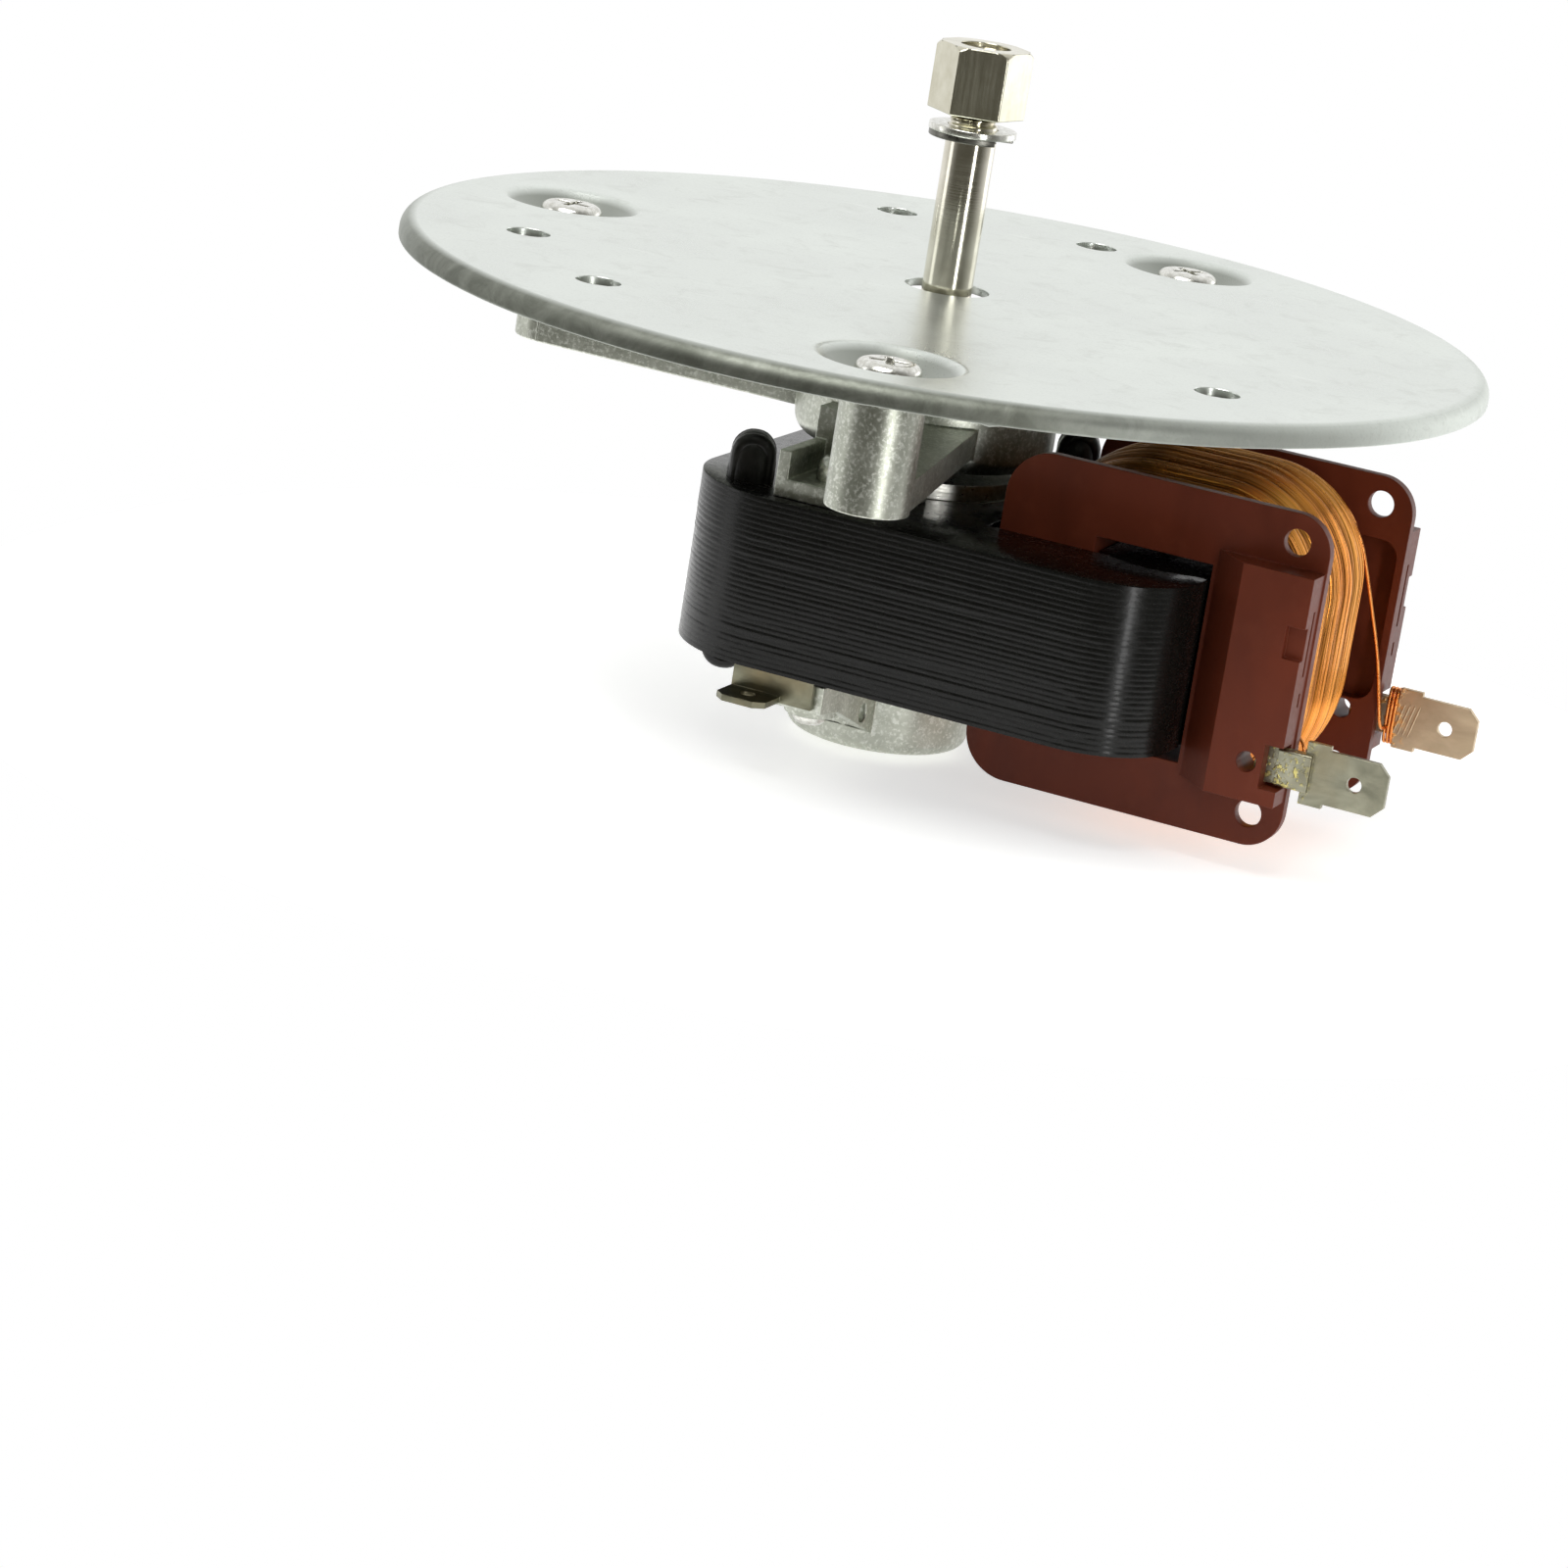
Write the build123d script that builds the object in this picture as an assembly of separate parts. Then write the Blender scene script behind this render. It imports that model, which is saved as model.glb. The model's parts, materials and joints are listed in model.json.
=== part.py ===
from build123d import *
import math
import os

# A shaded-pole fan motor hung behind a round mounting plate. Lengths are in millimetres.
# The origin is on the shaft's axis at the plate's front face. +Z runs out along the shaft,
# +X towards the coil, and Y across the iron core.

# Mounting plate: a round steel pressing with a turned-down rim
plate_r = 65.0
plate_t = 1.0
rim_depth = 2.5
rim_edge_r = 1.8
centre_hole_r = 5.05
fixing_circle_r = 50.0
fixing_hole_r = 2.6
fixing_edge_r = 0.4
fixing_angles = [-150.0, -120.0, -30.0, 90.0, 120.0]

# Dimples that sink the three screw heads
post_circle_r = 50.0
post_angles = [180.0, -74.6, 74.6]
dimple_r = 8.8
seat_r = 4.9
dimple_depth = 2.4
plate_screw_r = 2.0
plate_screw_length = 9.0
plate_head_r = 3.8
plate_head_h = 2.2
cross_slot = 0.9
cross_depth = 1.1
cross_share = 1.15
head_round = 0.55
tip_bevel = 0.25

# Shaft and what is fastened to its outer end
shaft_r = 3.0
shaft_reach = 28.2
thread_r = 2.9
thread_length = 8.8
shaft_chamfer = 0.5
groove_r = 2.5
washer_t = 0.8
washer_r = 5.2
clip_t = 0.7
clip_r = 5.1
clip_gap_deg = 70.0
nut_flats = 10.0
nut_height = 8.0
nut_proud = 0.7
nut_turn_deg = 20.0
nut_chamfer = 0.6

# Laminated core: a C, closed at the coil by a straight yoke
stack_drop = 23.0
stack_height = 20.0
core_left = 19.5
core_right = 43.3
core_half = 30.0
core_left_r = 14.0
core_right_r = 10.5
window_left = 16.0
leg_inner = 16.2
yoke_width = 13.8
yoke_end_r = 9.0
yoke_reach = 17.8
yoke_fit = 0.02

# Rotor
rotor_r = 12.4
air_gap = 0.3
bar_count = 14
bar_r = 1.0
bar_circle_r = 10.6
end_ring_in = 6.8
end_ring_out = 12.2
end_ring_h = 2.0
spacer_r = 4.5
thrust_r = 4.6
thrust_t = 0.5
axial_play = 0.1

# Bearings, the same at both ends
bearing_length = 6.5
bearing_end_r = 5.3
pocket_r = 8.8
spring_t = 0.4
spring_in = 5.0
spring_rim = 1.6
spring_slot = 1.0
spring_slots = 6
felt_t = 5.4
running = 0.03
slip = 0.05

# Front bracket: a die casting with a hub, three arms with posts, and two feet
hub_r = 15.6
hub_wall = 1.8
hub_gap = 3.6
hub_skirt_h = 10.4
hub_cap_r = 11.5
hub_cap_h = 3.5
hub_roof = 2.0
hub_round = 2.4
hub_cap_round = 1.4
tube_wall = 1.8
post_r = 4.8
arm_lift = 6.0
arm_t = 3.5
arm_half = 4.4
arm_root = (6.0, 9.0)
beam_half = 5.0
beam_root = 8.0
gusset_run = 4.5
gusset_rise = 7.0
gusset_share = 0.75
hub_bore_gap = 1.0
screw_y = 22.0
foot_half = 6.5
foot_depth = 5.7
foot_height = 5.6
foot_floor = 2.3
foot_wall = 1.5

# Rear bracket: a cup, two arms and two ears
cup_r = 11.0
cup_depth = 12.0
cup_floor = 1.5
cup_round = 1.4
rear_arm_half = 3.5
rear_arm_drop = 3.4
web_t = 1.3
web_slope = 1.0
deck_t = 1.8
ear_depth = 5.4
ear_drop = 4.2
ear_slope = 0.6
boss_r = 3.1
boss_drop = 5.6
boss_slope = 1.4
web_hole_r = 1.1
web_hole_y = 14.0

# Screws through feet, core and ears
bracket_screw_r = 1.95
bracket_head_r = 3.6
bracket_head_h = 2.9
screw_tip = 1.2
through_fit = 0.15

# Shading rings: two copper loops in each of two opposite pole corners
shade_x = -11.6
shade_y = -23.0
shade_turn_deg = 23.0
shade_half = 1.65
shade_wire_r = 1.0
shade_rise = 5.6
shade_drop = 2.8
shade_pitch = 2.5

# Coil former
flange_t = 1.5
flange_left = 17.4
flange_right = 57.0
flange_up = 10.0
flange_down = 9.3
flange_left_r = 5.5
flange_right_r = 4.5
corner_hole_r = 1.6
corner_hole_inset = 4.1
upper_hole_drop = 3.4
lower_hole_rise = 3.8
tunnel_side = 0.3
tunnel_end = 1.8
tube_t = 1.2
block_left = 44.1
block_right = 56.8
block_depth = 3.8
block_chamfer = 4.2
block_top = 3.8
block_bottom = 3.2
pin_hole_r = 1.2
pin_hole_x = 52.7
pin_hole_rise = 0.1
notch_length = 2.2
notch_margin = 0.4
hollow_left = 46.5
hollow_right = 56.0
hollow_top = -20.5
hollow_height = 19.6
hollow_depth = 2.2
hollow_r = 2.2
key_width = 2.2
key_height = 3.8
key_depth = 1.0
key_rise = 6.0
slit_y = 17.6
slit_width = 0.5
slit_depth = 0.8
# top and height of each slit in the block's end
slits = [(-23.4, 7.6), (-33.0, 1.6)]

# Winding and its two ends
winding_left = 18.6
winding_right = 55.2
winding_over = 1.4
winding_r = 14.0
winding_level = 8.0
winding_taper_deg = 15.0
end_gap = 0.1
lead_r = 0.25
lead_bend_r = 1.0
# where each lead leaves the winding: its distance from the middle and height above the terminal
front_lead_start = (12.6, 8.5)
rear_lead_start = (10.5, 20.2)
# where it bends beside the flange: how far short of the flange's edge and how high
front_lead_corner = (1.4, 4.6)
rear_lead_corner = (0.8, 7.1)
# height above the terminal's middle at which it crosses the flange's edge
front_lead_cross = 1.0
rear_lead_cross = -1.2

# Spade terminals
blade_t = 0.8
blade_width = 6.3
blade_end = 68.9
blade_length = 7.6
blade_corner = 1.3
blade_hole_r = 0.9
blade_hole_inset = 3.85
shoulder_width = 7.4
shoulder_length = 2.4
shoulder_step = 0.4
neck_width = 4.4
neck_root = 53.0
crimp_length = 4.0
crimp_bulk = 0.7
blade_drop = 18.7

# Earth tag, clamped under the near ear
tag_t = 0.8
tag_left = -7.8
tag_right = 2.5
tag_reach = 32.6
tag_width = 6.3
tag_hole_r = 0.9
tag_wall_y = 27.5
tag_drop = 2.9
tag_corner = 1.2

# Levels, worked out from the sizes above
post_top = -(dimple_depth + plate_t)
stack_top = -stack_drop
stack_bottom = stack_top - stack_height
stack_mid = (stack_top + stack_bottom) / 2
arm_bottom = stack_top + arm_lift
arm_top = arm_bottom + arm_t
hub_bottom = stack_top + hub_gap
hub_shoulder = hub_bottom + hub_skirt_h
hub_top = hub_shoulder + hub_cap_h
upper_seat = hub_top - hub_roof
cup_bottom = stack_bottom - cup_depth
lower_seat = cup_bottom + cup_floor
upper_bearing_low = upper_seat - bearing_length
lower_bearing_high = lower_seat + bearing_length
yoke_x = core_right - yoke_width / 2
yoke_centre_y = yoke_reach - yoke_end_r
foot_out = screw_y + foot_depth
foot_in = screw_y - foot_depth
ear_out = screw_y + ear_depth
ear_in = screw_y - ear_depth
ear_bottom = stack_bottom - ear_drop
boss_bottom = stack_bottom - boss_drop
rear_arm_top = stack_bottom - rear_arm_drop
flange_out = leg_inner
flange_in = flange_out - flange_t
flange_top = stack_top + flange_up
flange_bottom = stack_bottom - flange_down
winding_mid = (flange_top + flange_bottom) / 2 + winding_over
tube_left = yoke_x - yoke_width / 2 - tunnel_side - tube_t
tube_right = core_right + tunnel_side + tube_t
tube_top = stack_top + tunnel_end + tube_t
tube_bottom = stack_bottom - tunnel_end - tube_t
terminal_y = flange_out + block_depth / 3
terminal_z = stack_top - blade_drop
blade_start = blade_end - blade_length
thread_start = shaft_reach - thread_length
clip_low = thread_start - washer_t - clip_t - slip


def rod(radius, low, high, at=(0, 0)):
    # an upright cylinder between two heights
    return Pos(at[0], at[1], (low + high) / 2) * Cylinder(radius, high - low)


def tube(outer, inner, low, high, at=(0, 0)):
    # an upright cylinder with a bore
    return rod(outer, low, high, at) - rod(inner, low - 1, high + 1, at)


def block(x, y, z):
    # a box from three (low, high) pairs
    centre = Pos((x[0] + x[1]) / 2, (y[0] + y[1]) / 2, (z[0] + z[1]) / 2)
    return centre * Box(x[1] - x[0], y[1] - y[0], z[1] - z[0])


def on_circle(radius, degrees):
    # a point on a circle about the shaft's axis
    return (radius * math.cos(math.radians(degrees)), radius * math.sin(math.radians(degrees)))


def dimple_sheet():
    # the sheet of one dimple about its own axis: a flat seat and an S-shaped side of two arcs
    half = ((dimple_r + seat_r) / 2, -dimple_depth / 2)
    upper = TangentArc((dimple_r, 0), half, tangent=(-1, 0))
    lower = TangentArc((seat_r, -dimple_depth), half, tangent=(1, 0))
    floor = Line((seat_r, -dimple_depth), (0, -dimple_depth))
    edges = [upper, lower, floor]
    below = [Pos(0, -plate_t) * edge for edge in edges]
    ends = [
        Line((dimple_r, 0), (dimple_r, -plate_t)),
        Line((0, -dimple_depth), (0, -dimple_depth - plate_t)),
    ]
    profile = make_face(Plane.XZ * Curve([*edges, *below, *ends]))
    return revolve(profile, Axis.Z)


def mounting_plate():
    disc = rod(plate_r, -rim_depth, 0)
    disc = fillet(disc.edges().group_by(Axis.Z)[-1], rim_edge_r)
    inside = rod(plate_r - plate_t, -rim_depth - 1, -plate_t)
    inside = fillet(inside.edges().group_by(Axis.Z)[-1], rim_edge_r - plate_t / 2)
    plate = disc - inside - rod(centre_hole_r, -2 * plate_t, 1)
    for angle in fixing_angles:
        plate -= rod(fixing_hole_r, -2 * plate_t, 1, on_circle(fixing_circle_r, angle))
    edges = plate.edges().filter_by(GeomType.CIRCLE).filter_by_position(Axis.Z, -0.01, 0.01)
    edges = [edge for edge in edges if abs(edge.radius - fixing_hole_r) < 0.01]
    plate = fillet(edges, min(fixing_edge_r, 0.45 * plate_t))
    dish = dimple_sheet()
    for angle in post_angles:
        x, y = on_circle(post_circle_r, angle)
        plate -= rod(dimple_r, -2 * plate_t, 1, (x, y))
        plate += Pos(x, y, 0) * dish
        plate -= rod(plate_screw_r + through_fit, post_top - 1, 0, (x, y))
    return plate


def cross_recess(top, depth, length):
    # the cross slot in a screw's head, cut down from its top
    arm = block((-length / 2, length / 2), (-cross_slot / 2, cross_slot / 2), (top - depth, top + 1))
    return arm + Rot(0, 0, 90) * arm


def pan_screw(radius, head_r, head_h, under_head, tip):
    # a pan-head screw on its own axis, with its head above the given height
    head = rod(head_r, under_head, under_head + head_h)
    head = fillet(head.edges().group_by(Axis.Z)[-1], head_round * head_h)
    shank = rod(radius, tip, under_head)
    shank = chamfer(shank.edges().group_by(Axis.Z)[0], tip_bevel * radius)
    return head + shank - cross_recess(under_head + head_h, cross_depth, cross_share * head_r)


def plate_screws():
    tip = post_top - plate_screw_length
    screw = pan_screw(plate_screw_r, plate_head_r, plate_head_h, -dimple_depth, tip)
    turned = [(25 * i, on_circle(post_circle_r, angle)) for i, angle in enumerate(post_angles)]
    return [Pos(x, y, 0) * Rot(0, 0, turn) * screw for turn, (x, y) in turned]


def shaft():
    body = rod(shaft_r, lower_seat + axial_play, thread_start) + rod(thread_r, thread_start, shaft_reach)
    body = chamfer(body.edges().group_by(Axis.Z)[-1], shaft_chamfer)
    body = chamfer(body.edges().group_by(Axis.Z)[0], shaft_chamfer)
    return body - tube(shaft_r + 1, groove_r, clip_low, clip_low + clip_t + slip)


def retaining_clip():
    # a flat ring open on one side
    ring = tube(clip_r, groove_r + slip, clip_low, clip_low + clip_t)
    x, y = on_circle(2 * clip_r, clip_gap_deg / 2)
    mouth = make_face(Polyline([(0, 0), (x, y), (x, -y)], close=True))
    return ring - Pos(0, 0, clip_low - 1) * extrude(mouth, clip_t + 2)


def shaft_washer():
    low = clip_low + clip_t
    return tube(washer_r, shaft_r + slip, low, low + washer_t)


def shaft_nut():
    # an open tall hexagon nut with its top corners turned off
    top = shaft_reach + nut_proud
    low = top - nut_height
    hexagon = RegularPolygon(nut_flats / 2, 6, major_radius=False, rotation=nut_turn_deg)
    body = Pos(0, 0, low) * extrude(hexagon, nut_height)
    corner_r = nut_flats / 2 / math.cos(math.pi / 6)
    turned = rod(corner_r, low, top)
    turned = chamfer(turned.edges().group_by(Axis.Z)[-1], nut_chamfer)
    return (body & turned) - rod(thread_r + slip, low - 1, top + 1)


def stator_core():
    # a C whose open side is closed by the yoke, with the rotor's bore in its closed end
    body = block((-core_left, core_right), (-core_half, core_half), (stack_bottom, stack_top))
    uprights = body.edges().filter_by(Axis.Z).group_by(Axis.X)
    body = fillet(uprights[0], core_left_r)
    uprights = body.edges().filter_by(Axis.Z).group_by(Axis.X)
    body = fillet(uprights[-1], core_right_r)
    low, high = stack_bottom - 1, stack_top + 1
    body -= block((window_left, core_right + 1), (-leg_inner, leg_inner), (low, high))
    body -= rod(rotor_r + air_gap, low, high)
    body -= yoke_form(yoke_fit, low, high)
    for side in (-1, 1):
        body -= rod(bracket_screw_r + through_fit, low, high, (0, side * screw_y))
    for x, y in shade_holes():
        body -= rod(shade_wire_r + slip, low, high, (x, y))
    return body


def yoke_form(grow, low, high):
    # the yoke's outline, a straight bar with two arched ends, grown by a clearance
    half = yoke_width / 2 + grow
    wide = (yoke_x - half, yoke_x + half)
    form = block(wide, (-yoke_centre_y, yoke_centre_y), (low, high))
    for side in (-1, 1):
        span = sorted((side * yoke_centre_y, side * (yoke_reach + 1)))
        arch = rod(yoke_end_r + grow, low, high, (yoke_x, side * yoke_centre_y))
        form += arch & block(wide, span, (low, high))
    return form


def core_yoke():
    return yoke_form(0, stack_bottom, stack_top)


def shade_loops():
    # centre and turn of each shading loop
    loops = []
    for side in (1, -1):
        for row in (0, 1):
            inward = row * shade_pitch
            turn = math.radians(shade_turn_deg)
            x = shade_x - inward * math.sin(turn)
            y = shade_y + inward * math.cos(turn)
            loops.append((side * x, side * y))
    return loops


def shade_holes():
    turn = math.radians(shade_turn_deg)
    along = (shade_half * math.cos(turn), shade_half * math.sin(turn))
    return [(x + s * along[0], y + s * along[1]) for x, y in shade_loops() for s in (-1, 1)]


def shading_rings():
    # each loop runs up one hole, round a bend above the core and down the other
    top = stack_top + shade_rise - shade_wire_r
    low = stack_bottom - shade_drop + shade_wire_r
    half = shade_half
    corners = [(-half, 0, low), (half, 0, low), (half, 0, top), (-half, 0, top)]
    path = FilletPolyline(*corners, radius=0.9 * half, close=True)
    start = Plane(path @ 0, z_dir=path % 0)
    loop = sweep(start * Circle(shade_wire_r), path)
    return [Pos(x, y, 0) * Rot(0, 0, shade_turn_deg) * loop for x, y in shade_loops()]


def rotor_core():
    body = tube(rotor_r, shaft_r + slip / 2, stack_bottom, stack_top)
    for i in range(bar_count):
        at = on_circle(bar_circle_r, 360 * i / bar_count)
        body -= rod(bar_r + slip / 2, stack_bottom - 1, stack_top + 1, at)
    return body


def rotor_cage():
    # two end rings joined by the bars, cast in one piece
    body = tube(end_ring_out, end_ring_in, stack_top, stack_top + end_ring_h)
    body += tube(end_ring_out, end_ring_in, stack_bottom - end_ring_h, stack_bottom)
    for i in range(bar_count):
        at = on_circle(bar_circle_r, 360 * i / bar_count)
        body += rod(bar_r, stack_bottom - end_ring_h / 2, stack_top + end_ring_h / 2, at)
    return body


def rotor_spacers():
    bore = shaft_r + slip / 2
    upper_end = upper_bearing_low - axial_play - 2 * thrust_t
    lower_end = lower_bearing_high + axial_play + 2 * thrust_t
    return [tube(spacer_r, bore, stack_top, upper_end), tube(spacer_r, bore, lower_end, stack_bottom)]


def thrust_washers():
    # two between each bearing and its spacer
    washers = []
    for i in range(2):
        high = upper_bearing_low - axial_play - i * thrust_t
        low = lower_bearing_high + axial_play + i * thrust_t
        washers.append(tube(thrust_r, shaft_r + slip, high - thrust_t, high))
        washers.append(tube(thrust_r, shaft_r + slip, low, low + thrust_t))
    return washers


def bearing(low):
    # a barrel-shaped sintered bush
    middle = low + bearing_length / 2
    ball = Pos(0, 0, middle) * Sphere(math.hypot(bearing_end_r, bearing_length / 2))
    slab = rod(2 * pocket_r, low, low + bearing_length)
    return (ball & slab) - rod(shaft_r + running, low - 1, low + bearing_length + 1)


def bearing_spring(low):
    # a star ring that holds a bearing in its pocket
    ring = tube(pocket_r - slip, spring_in, low, low + spring_t)
    across = (-spring_slot / 2, spring_slot / 2)
    slot = block((spring_in - 1, pocket_r - spring_rim), across, (low - 1, low + spring_t + 1))
    for i in range(spring_slots):
        ring -= Rot(0, 0, 360 * i / spring_slots) * slot
    return ring


def felt(low):
    inner = math.hypot(bearing_end_r, bearing_length / 2) + slip
    return tube(pocket_r - slip, inner, low, low + felt_t)


def arm_lines():
    # each arm's root, its post and its half width: one beam and two arms that pass beside the feet
    lines = [((-beam_root, 0), on_circle(post_circle_r, post_angles[0]), beam_half)]
    for angle in post_angles[1:]:
        post = on_circle(post_circle_r, angle)
        lines.append(((arm_root[0], math.copysign(arm_root[1], post[1])), post, arm_half))
    return lines


def arm(root, post, half):
    # a flat bar from its root to its post, with a hollow-edged gusset up the post
    run = math.hypot(post[0] - root[0], post[1] - root[1])
    turn = math.degrees(math.atan2(post[1] - root[1], post[0] - root[0]))
    bar = block((0, run), (-half, half), (arm_bottom, arm_top))
    near = run - 0.8 * post_r
    foot = near - gusset_run
    peak = arm_top + gusset_rise
    start = Vector(foot, 0, arm_top)
    end = Vector(near, 0, peak)
    sag = Vector(near - 0.25 * gusset_run, 0, arm_top + 0.25 * gusset_rise)
    curve = ThreePointArc(start, sag, end)
    rest = Polyline([end, (run, 0, peak), (run, 0, arm_bottom), (foot, 0, arm_bottom), start])
    web = extrude(make_face(Curve([curve, rest])), gusset_share * half, both=True)
    return Pos(root[0], root[1], 0) * Rot(0, 0, turn) * (bar + web)


def top_bracket():
    hub = rod(hub_r, hub_bottom, hub_shoulder)
    hub = fillet(hub.edges(), hub_round)
    cap = rod(hub_cap_r, hub_shoulder - 1, hub_top)
    cap = fillet(cap.edges().group_by(Axis.Z)[-1], hub_cap_round)
    body = hub + cap
    for root, post, half in arm_lines():
        body += arm(root, post, half)
        body += rod(post_r, arm_bottom, post_top, post)
    for side in (-1, 1):
        # a foot, and the upright behind it that joins the hub
        hub_side = side * (hub_r - hub_wall)
        span = sorted((hub_side, side * foot_out))
        body += block((-foot_half, foot_half), span, (stack_top, stack_top + foot_height))
        span = sorted((hub_side - side * hub_wall, side * (foot_in + foot_wall)))
        body += block((-foot_half, foot_half), span, (stack_top, arm_top))
    # hollow under the hub, around the bearing's tube
    body -= tube(hub_r - hub_wall, pocket_r + tube_wall, stack_top - 1, hub_shoulder - hub_wall)
    body -= rod(pocket_r + tube_wall + slip, stack_top - 1, hub_bottom)
    body -= rod(pocket_r, stack_top - 1, upper_seat)
    body -= rod(shaft_r + hub_bore_gap, stack_top, hub_top + 1)
    inside = foot_half - foot_wall
    socket = (stack_top + foot_floor, max(arm_bottom, stack_top + foot_height))
    for side in (-1, 1):
        # the socket for a screw's head is open to the front and above
        span = sorted((side * (foot_in + foot_wall), side * (foot_out + 1)))
        body -= block((-inside, inside), span, socket)
        body -= rod(bracket_screw_r + through_fit, stack_top - 1, socket[1], (0, side * screw_y))
    for root, post, half in arm_lines():
        body -= rod(plate_screw_r + running, post_top - plate_screw_length - 1, post_top + 1, post)
    return body


def rear_arm():
    # the near arm: two webs that deepen towards the cup, a deck between them and the screw's boss
    web_low = cup_bottom + cup_round + web_slope
    outline = [
        (0, rear_arm_top),
        (-ear_in, rear_arm_top),
        (-ear_in, stack_bottom),
        (-ear_out, stack_bottom),
        (-ear_out, ear_bottom),
        (-screw_y, ear_bottom - ear_slope),
        (-ear_in, boss_bottom - boss_slope),
        (-0.9 * cup_r, web_low),
        (0, web_low),
    ]
    profile = make_face(Polyline([(0, y, z) for y, z in outline], close=True))
    body = extrude(profile, rear_arm_half, both=True)
    inside = rear_arm_half - web_t
    body -= block((-inside, inside), (-ear_out + web_t, -cup_r), (cup_bottom, rear_arm_top - deck_t))
    body += rod(boss_r, boss_bottom, stack_bottom, (0, -screw_y))
    hole = Pos(0, -web_hole_y, rear_arm_top - deck_t - web_hole_r) * Rot(0, 90, 0)
    return body - hole * Cylinder(web_hole_r, 4 * rear_arm_half)


def bottom_bracket():
    cup = rod(cup_r, cup_bottom, rear_arm_top)
    cup = fillet(cup.edges().group_by(Axis.Z)[0], cup_round)
    near = rear_arm()
    # the earth tag lies between the near ear and the core
    wide = 4 * rear_arm_half
    tag_room = block((-wide, wide), (-2 * ear_out, 0), (stack_bottom - tag_t, stack_bottom + 1))
    body = cup + (near - tag_room) + mirror(near, Plane.XZ)
    body -= rod(pocket_r, lower_seat, stack_bottom + 1)
    for side in (-1, 1):
        body -= rod(bracket_screw_r + running, boss_bottom - 1, stack_bottom + 1, (0, side * screw_y))
    return body


def bracket_screws():
    seat = stack_top + foot_floor
    screw = pan_screw(bracket_screw_r, bracket_head_r, bracket_head_h, seat, boss_bottom - screw_tip)
    return [Pos(0, side * screw_y, 0) * screw for side in (-1, 1)]


def earth_tag():
    # a flat foot round the screw, a wall down the ear's outside and a spade tab at its lower edge
    low = stack_bottom - tag_drop - tag_t
    wall_out = -tag_wall_y - tag_t
    wide = (tag_left, tag_right)
    foot = block(wide, (wall_out, -screw_y + ear_depth / 2), (stack_bottom - tag_t, stack_bottom))
    wall = block(wide, (wall_out, -tag_wall_y), (low, stack_bottom))
    tab = block((tag_left, tag_left + tag_width), (-tag_reach - tag_t, -tag_wall_y), (low, low + tag_t))
    tab = chamfer(tab.edges().filter_by(Axis.Z).group_by(Axis.Y)[0], tag_corner)
    body = foot + wall + tab
    through = (stack_bottom - 2 * tag_t, stack_bottom + 1)
    body -= rod(bracket_screw_r + through_fit, *through, (0, -screw_y))
    hole_at = (tag_left + tag_width / 2, -(tag_wall_y + tag_reach + tag_t) / 2)
    return body - rod(tag_hole_r, low - 1, low + 2 * tag_t, hole_at)


def flange(side):
    # one end plate of the former, with the terminal block on its outer face
    span = sorted((side * flange_in, side * flange_out))
    plate = block((flange_left, flange_right), span, (flange_bottom, flange_top))
    uprights = plate.edges().filter_by(Axis.Y).group_by(Axis.X)
    plate = fillet(uprights[0], flange_left_r)
    uprights = plate.edges().filter_by(Axis.Y).group_by(Axis.X)
    plate = fillet(uprights[-1], flange_right_r)
    outer = flange_out + block_depth
    outline = [
        (block_left, side * flange_in), (block_left, side * flange_out),
        (block_left + block_chamfer, side * outer), (block_right, side * outer),
        (block_right, side * flange_in),
    ]
    low, high = stack_bottom - block_bottom, stack_top + block_top
    body = plate + Pos(0, 0, low) * extrude(make_face(Polyline(outline, close=True)), high - low)
    for z in (flange_top - upper_hole_drop, flange_bottom + lower_hole_rise):
        at = Pos(flange_right - corner_hole_inset, side * flange_out, z)
        body -= at * Rot(90, 0, 0) * Cylinder(corner_hole_r, 4 * flange_t)
    pin_at = Pos(pin_hole_x, side * outer, terminal_z + pin_hole_rise)
    body -= pin_at * Rot(90, 0, 0) * Cylinder(pin_hole_r, 4 * block_depth)
    # the block is hollow behind, keyed on its outer edge and slit in its end
    deep = sorted((side * (flange_in - 1), side * (flange_in + hollow_depth)))
    hollow = block((hollow_left, hollow_right), deep, (hollow_top - hollow_height, hollow_top))
    body -= fillet(hollow.edges().filter_by(Axis.Y).group_by(Axis.X)[-1], hollow_r)
    edge = sorted((side * (outer - key_depth), side * (outer + 1)))
    key_z = (stack_mid + key_rise - key_height / 2, stack_mid + key_rise + key_height / 2)
    body -= block((block_right - key_width, block_right + 1), edge, key_z)
    across = (side * slit_y - slit_width / 2, side * slit_y + slit_width / 2)
    for top, tall in slits:
        body -= block((block_right - slit_depth, block_right + 1), across, (top - tall, top))
    # the slot that grips the terminal, and the notch in front of its crimp
    inner = terminal_y - blade_t / 2 - slip
    grip = sorted((side * inner, side * (inner + blade_t + 2 * slip)))
    half = neck_width / 2 + slip
    body -= block((neck_root, block_right + 1), grip, (terminal_z - half, terminal_z + half))
    front = sorted((side * inner, side * (outer + 1)))
    half = neck_width / 2 + notch_margin
    notch = (block_right - notch_length, block_right + 1)
    return body - block(notch, front, (terminal_z - half, terminal_z + half))


def coil_bobbin():
    body = block((tube_left, tube_right), (-flange_in, flange_in), (tube_bottom, tube_top))
    for side in (-1, 1):
        body += flange(side)
    tunnel_x = (tube_left + tube_t, tube_right - tube_t)
    tunnel_z = (tube_bottom + tube_t, tube_top - tube_t)
    return body - block(tunnel_x, (-2 * flange_out, 2 * flange_out), tunnel_z)


def winding_sink(y):
    # how far the winding's surface lies below its level middle
    beyond = max(0.0, abs(y) - winding_level / 2)
    return beyond * math.tan(math.radians(winding_taper_deg))


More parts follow.
